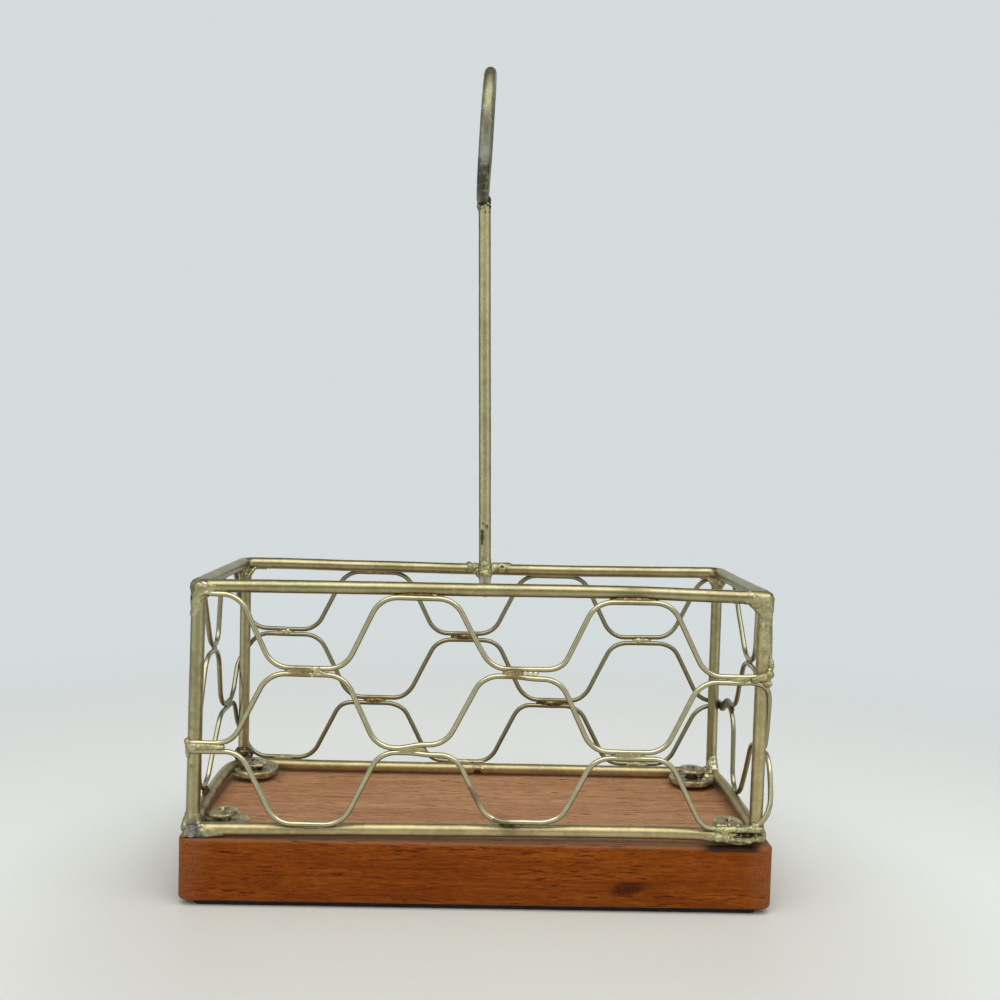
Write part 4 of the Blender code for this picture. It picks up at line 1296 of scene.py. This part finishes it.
brazeLooks = {
    "upper_middle_front_1": brazed((0.08, 0.62), "braze", 0.75, (0.30, -0.2, 0.0, 2.4, 0.9, 1.5), tall=1.6),
    "upper_middle_front_2": brazed((0.05, 0.45), "braze", 0.8, (0.12, -0.5, 0.0, 1.2, 0.8, 1.0), tall=1.5),
    "upper_middle_front_3": brazed(
        (0.30, 0.85), "weld", 0.3, (0.42, -0.1, 0.2, 1.2, 0.9, 1.2), (0.58, -0.1, -0.1, 1.5, 0.9, 1.1),
    ),
    "middle_lower_front_1": brazed(
        (0.10, 0.70), "weld", 0.35, (0.70, -0.3, 0.0, 1.6, 0.8, 1.0), (0.40, -0.4, 0.0, 2.0, 0.8, 1.0),
        tall=1.5,
    ),
    "middle_lower_front_2": brazed(
        (0.15, 0.78), "weld", 0.35, (0.30, -0.2, 0.3, 1.0, 0.9, 0.8), (0.72, -0.2, 0.0, 1.2, 0.9, 1.3),
    ),
    "upper_middle_back_1": brazed((0.30, 0.70), "bright", 0.5, (0.60, -0.2, 0.0, 1.0, 0.9, 1.2)),
    "upper_middle_back_2": brazed((0.20, 0.85), "umber", 0.8, (0.50, -0.4, 0.0, 2.4, 0.8, 1.0), tall=1.5),
    "upper_middle_back_3": brazed((0.35, 0.65), "bright", 0.4, (0.45, -0.2, 0.0, 1.1, 1.0, 1.4)),
    "middle_lower_back_1": brazed((0.10, 0.85), "umber", 0.9, (0.50, -0.4, 0.0, 3.0, 0.8, 1.0), tall=1.5),
    "middle_lower_back_2": brazed(
        (0.25, 0.75), "braze", 0.7, (0.42, -0.1, 0.2, 1.2, 1.0, 1.0), (0.56, -0.1, -0.2, 1.2, 1.0, 1.0),
    ),
    "middle_lower_left_1": brazed((0.35, 0.98), "weld", 0.1, (0.70, -0.3, 0.0, 2.2, 0.75, 1.1), tall=1.75),
    "middle_lower_right_1": brazed(
        (-0.15, 0.75), "umber", 0.7, (0.10, -0.2, 0.0, 2.6, 1.0, 1.4), (0.40, -0.1, 0.0, 3.0, 1.0, 1.3),
    ),
    "upper_rail_front_1": brazed((0.10, 0.95), "umber", 0.5),
    "upper_rail_front_2": brazed((0.08, 0.92), "umber", 0.7),
    "lower_rail_left_1": brazed((0.1, 0.9), "umber", 0.6, tall=1.9),
    "lower_rail_front_1": brazed((0.20, 0.90), "weld", 0.2),
    "lower_rail_front_2": brazed((0.0, 0.42), "scorch", 0.6, size=0.45),
}
brazeSpare = brazed((0.30, 0.70), "weld", 0.3)
brazeMake = {
    "spacing": 0.8, "half": 1.0, "wide": 0.95, "deep": 0.98, "taper": 0.45, "heatPast": 2.5,
    "sootAndShadeReach": 0.8, "soot": 0.7, "inward": 0.8, "railLevel": 1.4,
}


def makeBraze(name, start, end, place, look):
    first, last = (start + (end - start) * share for share in look["fill"])
    count = max(2, round((last - first) / brazeMake["spacing"]))
    wide = brazeMake["wide"]
    blobs = []
    for index in range(count + 1):
        distance = first + (last - first) * index / count
        at = place(distance)
        taper = 1.0 - brazeMake["taper"] * abs(2 * index / count - 1.0) ** 3
        size = brazeMake["half"] * taper * chance.uniform(0.9, 1.1) * look["size"]
        deep = min(size, brazeMake["deep"])
        blobs.append((*at, wide, deep if abs(at.x) < postX else wide, size * look["tall"]))
    for share, outward, up, long, deep, tall in look["lumps"]:
        distance = start + (end - start) * share
        at = place(distance) + outwardAt(distance) * outward
        flat = (long, deep) if abs(at.x) < postX else (deep, long)
        blobs.append((at.x, at.y, at.z + up, *flat, tall))
    heart = place((first + last) / 2) * mm
    heatSpots.append((heart, ((last - first) / 2 + brazeMake["heatPast"]) * mm, look["burn"]))
    piece = bead(name, blobs, look["finish"], soft=3, rough=0.22, grain=0.7, voxel=0.16, slot="wire_paint")
    sootAndShadeSpots = [heart + Vector((chance.uniform(-3, 3), 0.0, -0.4)) * mm for _ in range(2)]
    markSpots(piece, "scald", [(point, brazeMake["sootAndShadeReach"] * mm, brazeMake["soot"]) for point in sootAndShadeSpots])


def between(first, second):
    return lambda distance: (onWire(first, distance) + onWire(second, distance)) / 2


def besideRail(name, level):
    def place(distance):
        at = onWire(name, distance)
        inward = at - outwardAt(distance) * brazeMake["inward"]
        return Vector((inward.x, inward.y, (at.z + level) / 2))
    return place


brazeCount = 0
railLevel = {"upper": topRail - brazeMake["railLevel"], "lower": lowRail + brazeMake["railLevel"]}
for pair, spans in joints.items():
    first, second = pair.split("_")
    numbers = dict.fromkeys(sideNames, 0)
    place = between(first + "_wire", second + "_wire")
    if second == "rail":
        place = besideRail(first + "_wire", railLevel[first])
    for start, end in spans:
        side = sideNames[sideOf((start + end) / 2)]
        numbers[side] += 1
        name = "%s_%s_%d" % (pair, side, numbers[side])
        makeBraze("braze_" + name, start, end, place, brazeLooks.get(name, brazeSpare))
        brazeCount += 1

# on the front's middle joint three bright beads in a row, on the left one two strands that cross
beadMake = {"shares": (0.50, 0.62, 0.74), "size": 1.0, "inward": 0.2, "up": 0.2}
strandMake = {"shares": (0.60, 0.74, 0.92), "outward": 0.55}


def onJoint(number, shares):
    start, end = joints["upper_middle"][number]
    return [between("upper_wire", "middle_wire")(start + (end - start) * share) for share in shares]


def makeDrops(name, blobs, finish):
    drops = bead(name, blobs, finish, soft=2, rough=0.12, voxel=0.16, slot="wire_paint")
    markSpots(drops, "scald", [])


beads = []
for at in onJoint(1, beadMake["shares"]):
    beads.append((at.x, at.y + beadMake["inward"], at.z + beadMake["up"], *(beadMake["size"],) * 3))
makeDrops("braze_bright_beads", beads, "bead")
raised = Vector((0.0, -strandMake["outward"], 0.0))
left, middle, right = (point + raised for point in onJoint(0, strandMake["shares"]))
strands = [
    *run(left + Vector((0.0, 0.0, -1.2)), middle + Vector((0.0, 0.0, 1.1)), 0.55, 0.6, 0.5),
    *run(left + Vector((0.0, 0.0, 1.0)), right + Vector((0.0, 0.0, -0.9)), 0.6, 0.5, 0.5),
]
makeDrops("braze_strands", strands, "bright")
print("braze:", brazeCount)

for piece in wirePieces + rods:
    markSpots(piece, "scald", heatSpots + darkSpots)
    markSpots(piece, "bare", bareSpots)


# washers are welded to the rails unevenly, and the screws stand at their own heights and angles
fastenerMake = {
    "front_left": {
        "lift": 0.2, "thick": 0.8, "tilt": (1.0, 3.5), "shift": (-0.9, 0.0), "turn": 20.0, "soot": 0.3,
        "headLift": 0.75, "headTilt": (1.0, -2.0), "headShift": (-0.9, 0.0),
    },
    "front_right": {
        "lift": 1.0, "thick": 0.8, "tilt": (3.0, -1.0), "shift": (2.3, -0.1), "turn": 55.0, "soot": 0.5,
        "headLift": 0.3, "headTilt": (5.0, 1.0), "headShift": (0.0, -0.2),
    },
    "back_left": {
        "lift": 2.3, "thick": 1.5, "tilt": (2.0, 1.0), "shift": (-0.2, 0.0), "turn": 75.0, "soot": 0.4,
        "headLift": 0.75, "headTilt": (1.0, 2.0), "headShift": (-0.9, 0.0),
    },
    "back_right": {
        "lift": 2.1, "thick": 1.3, "tilt": (0.5, -2.0), "shift": (0.0, 0.0), "turn": 10.0, "soot": 1.4,
        "headLift": 0.4, "headTilt": (1.0, 1.0), "headShift": (0.0, 0.0),
    },
}
washerMake = {
    "profile": (  # radius and height, in mm
        (2.6, 0.0), (8.1, 0.0), (8.45, 0.3), (8.5, 0.8), (8.4, 1.3), (8.0, 1.6),
        (7.3, 1.6), (6.6, 1.3), (5.0, 1.15), (3.2, 1.1), (2.6, 1.0),
    ),
    "sides": 64, "dents": (0.30, 2.2), "pits": (0.12, 0.8), "sootAndShadeReach": 3.6, "sootShare": 0.2,
}
screwMake = {
    "profile": (
        (0.3, -16.0), (2.0, -12.0), (2.0, -6.0), (2.0, -4.5), (2.0, -3.0), (2.0, -1.5), (2.0, 0.0),
        (4.7, 0.0), (4.9, 0.12), (4.9, 0.55), (4.75, 0.8), (4.3, 1.05), (3.5, 1.28),
        (2.3, 1.46), (1.0, 1.54), (0.2, 1.55),
    ),
    "head": 1.65, "recess": (5.0, 1.3, 1.0),  # span, width and depth
    "recessDarkUp": 0.9, "recessDarkReach": 1.3, "sootUp": (-1.8, -4.0), "sootAndShadeReach": 2.6,
}


def scaled(profile, thick=1.0):
    return [(radius * mm, height * thick * mm) for radius, height in profile]


def leaning(tilt):
    return [math.radians(angle) for angle in tilt] + [0.0]


def makeWasher(corner):
    make = fastenerMake[corner]
    low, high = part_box("washer_" + corner)
    centre = (low + high) / 2
    profile = scaled(washerMake["profile"], make["thick"])
    washer = turned("washer_" + corner, profile, washerMake["sides"], closed=True)
    washer.rotation_euler = leaning(make["tilt"])
    aside, back = (part * mm for part in make["shift"])
    washer.location = (centre.x + aside, centre.y + back, low.z + make["lift"] * mm)
    onlyThis(washer)
    applyPlace()
    modify(washer, "SUBSURF", subdivision_type="SIMPLE", levels=2, render_levels=2)
    roughen(washer, *washerMake["dents"])
    roughen(washer, *washerMake["pits"])
    settle(washer, "fastener", ("washer_" + corner,), angle=50.0)
    # painted shade: the washer darkens round its hole, under the screw head
    middle = Vector((centre.x, centre.y, high.z + make["lift"] * mm))
    sootAndShadeSpots = (middle, washerMake["sootAndShadeReach"] * mm, washerMake["sootShare"] * make["soot"])
    markSpots(washer, "scald", [sootAndShadeSpots])


def recessBar(turn):  # one of the two bars that cut the cross recess, narrower at its foot
    top = screwMake["profile"][-1][1] * mm
    span, width, depth = (part * mm for part in screwMake["recess"])
    deselect()
    bpy.ops.mesh.primitive_cube_add(size=1.0, location=(0.0, 0.0, top))
    bar = bpy.context.object
    bar.scale = (span, width, 2 * depth)
    applyPlace()
    mode("EDIT")
    pick(bar, "FACE", lambda face: face.normal.z < -0.9)
    bpy.ops.transform.resize(value=(0.5, 0.7, 1.0), center_override=(0.0, 0.0, top - depth))
    mode("OBJECT")
    bar.rotation_euler = (0.0, 0.0, math.radians(turn))
    return bar


def makeScrew(corner):
    make = fastenerMake[corner]
    low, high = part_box("screw_" + corner)
    centre = (low + high) / 2
    screw = turned("screw_" + corner, scaled(screwMake["profile"]))
    for bar in [recessBar(make["turn"] + quarter) for quarter in (0.0, 90.0)]:
        modify(screw, "BOOLEAN", operation="DIFFERENCE", object=bar, solver="EXACT")
        bpy.data.objects.remove(bar, do_unlink=True)
    screw.rotation_euler = leaning(make["headTilt"])
    aside = Vector((*make["headShift"], make["headLift"] - screwMake["head"])) * mm
    screw.location = Vector((centre.x, centre.y, high.z)) + aside
    place = screw.location.copy()
    # darker in and round the cross recess
    recessDark = (place + Vector((0.0, 0.0, screwMake["recessDarkUp"])) * mm, screwMake["recessDarkReach"] * mm, 1.0)
    settle(screw, "fastener", ("screw_" + corner,), angle=38.0)
    # painted shade: the shank darkens under the head, in the gap above the washer
    sootAndShadeSpots = [place + Vector((0.0, 0.0, up)) * mm for up in screwMake["sootUp"]]
    under = [(point, screwMake["sootAndShadeReach"] * mm, make["soot"]) for point in sootAndShadeSpots]
    markSpots(screw, "scald", [recessDark, *under])


for corner in fastenerMake:
    makeWasher(corner)
    makeScrew(corner)
print("washers and screws:", len(fastenerMake))

bpy.context.view_layer.update()
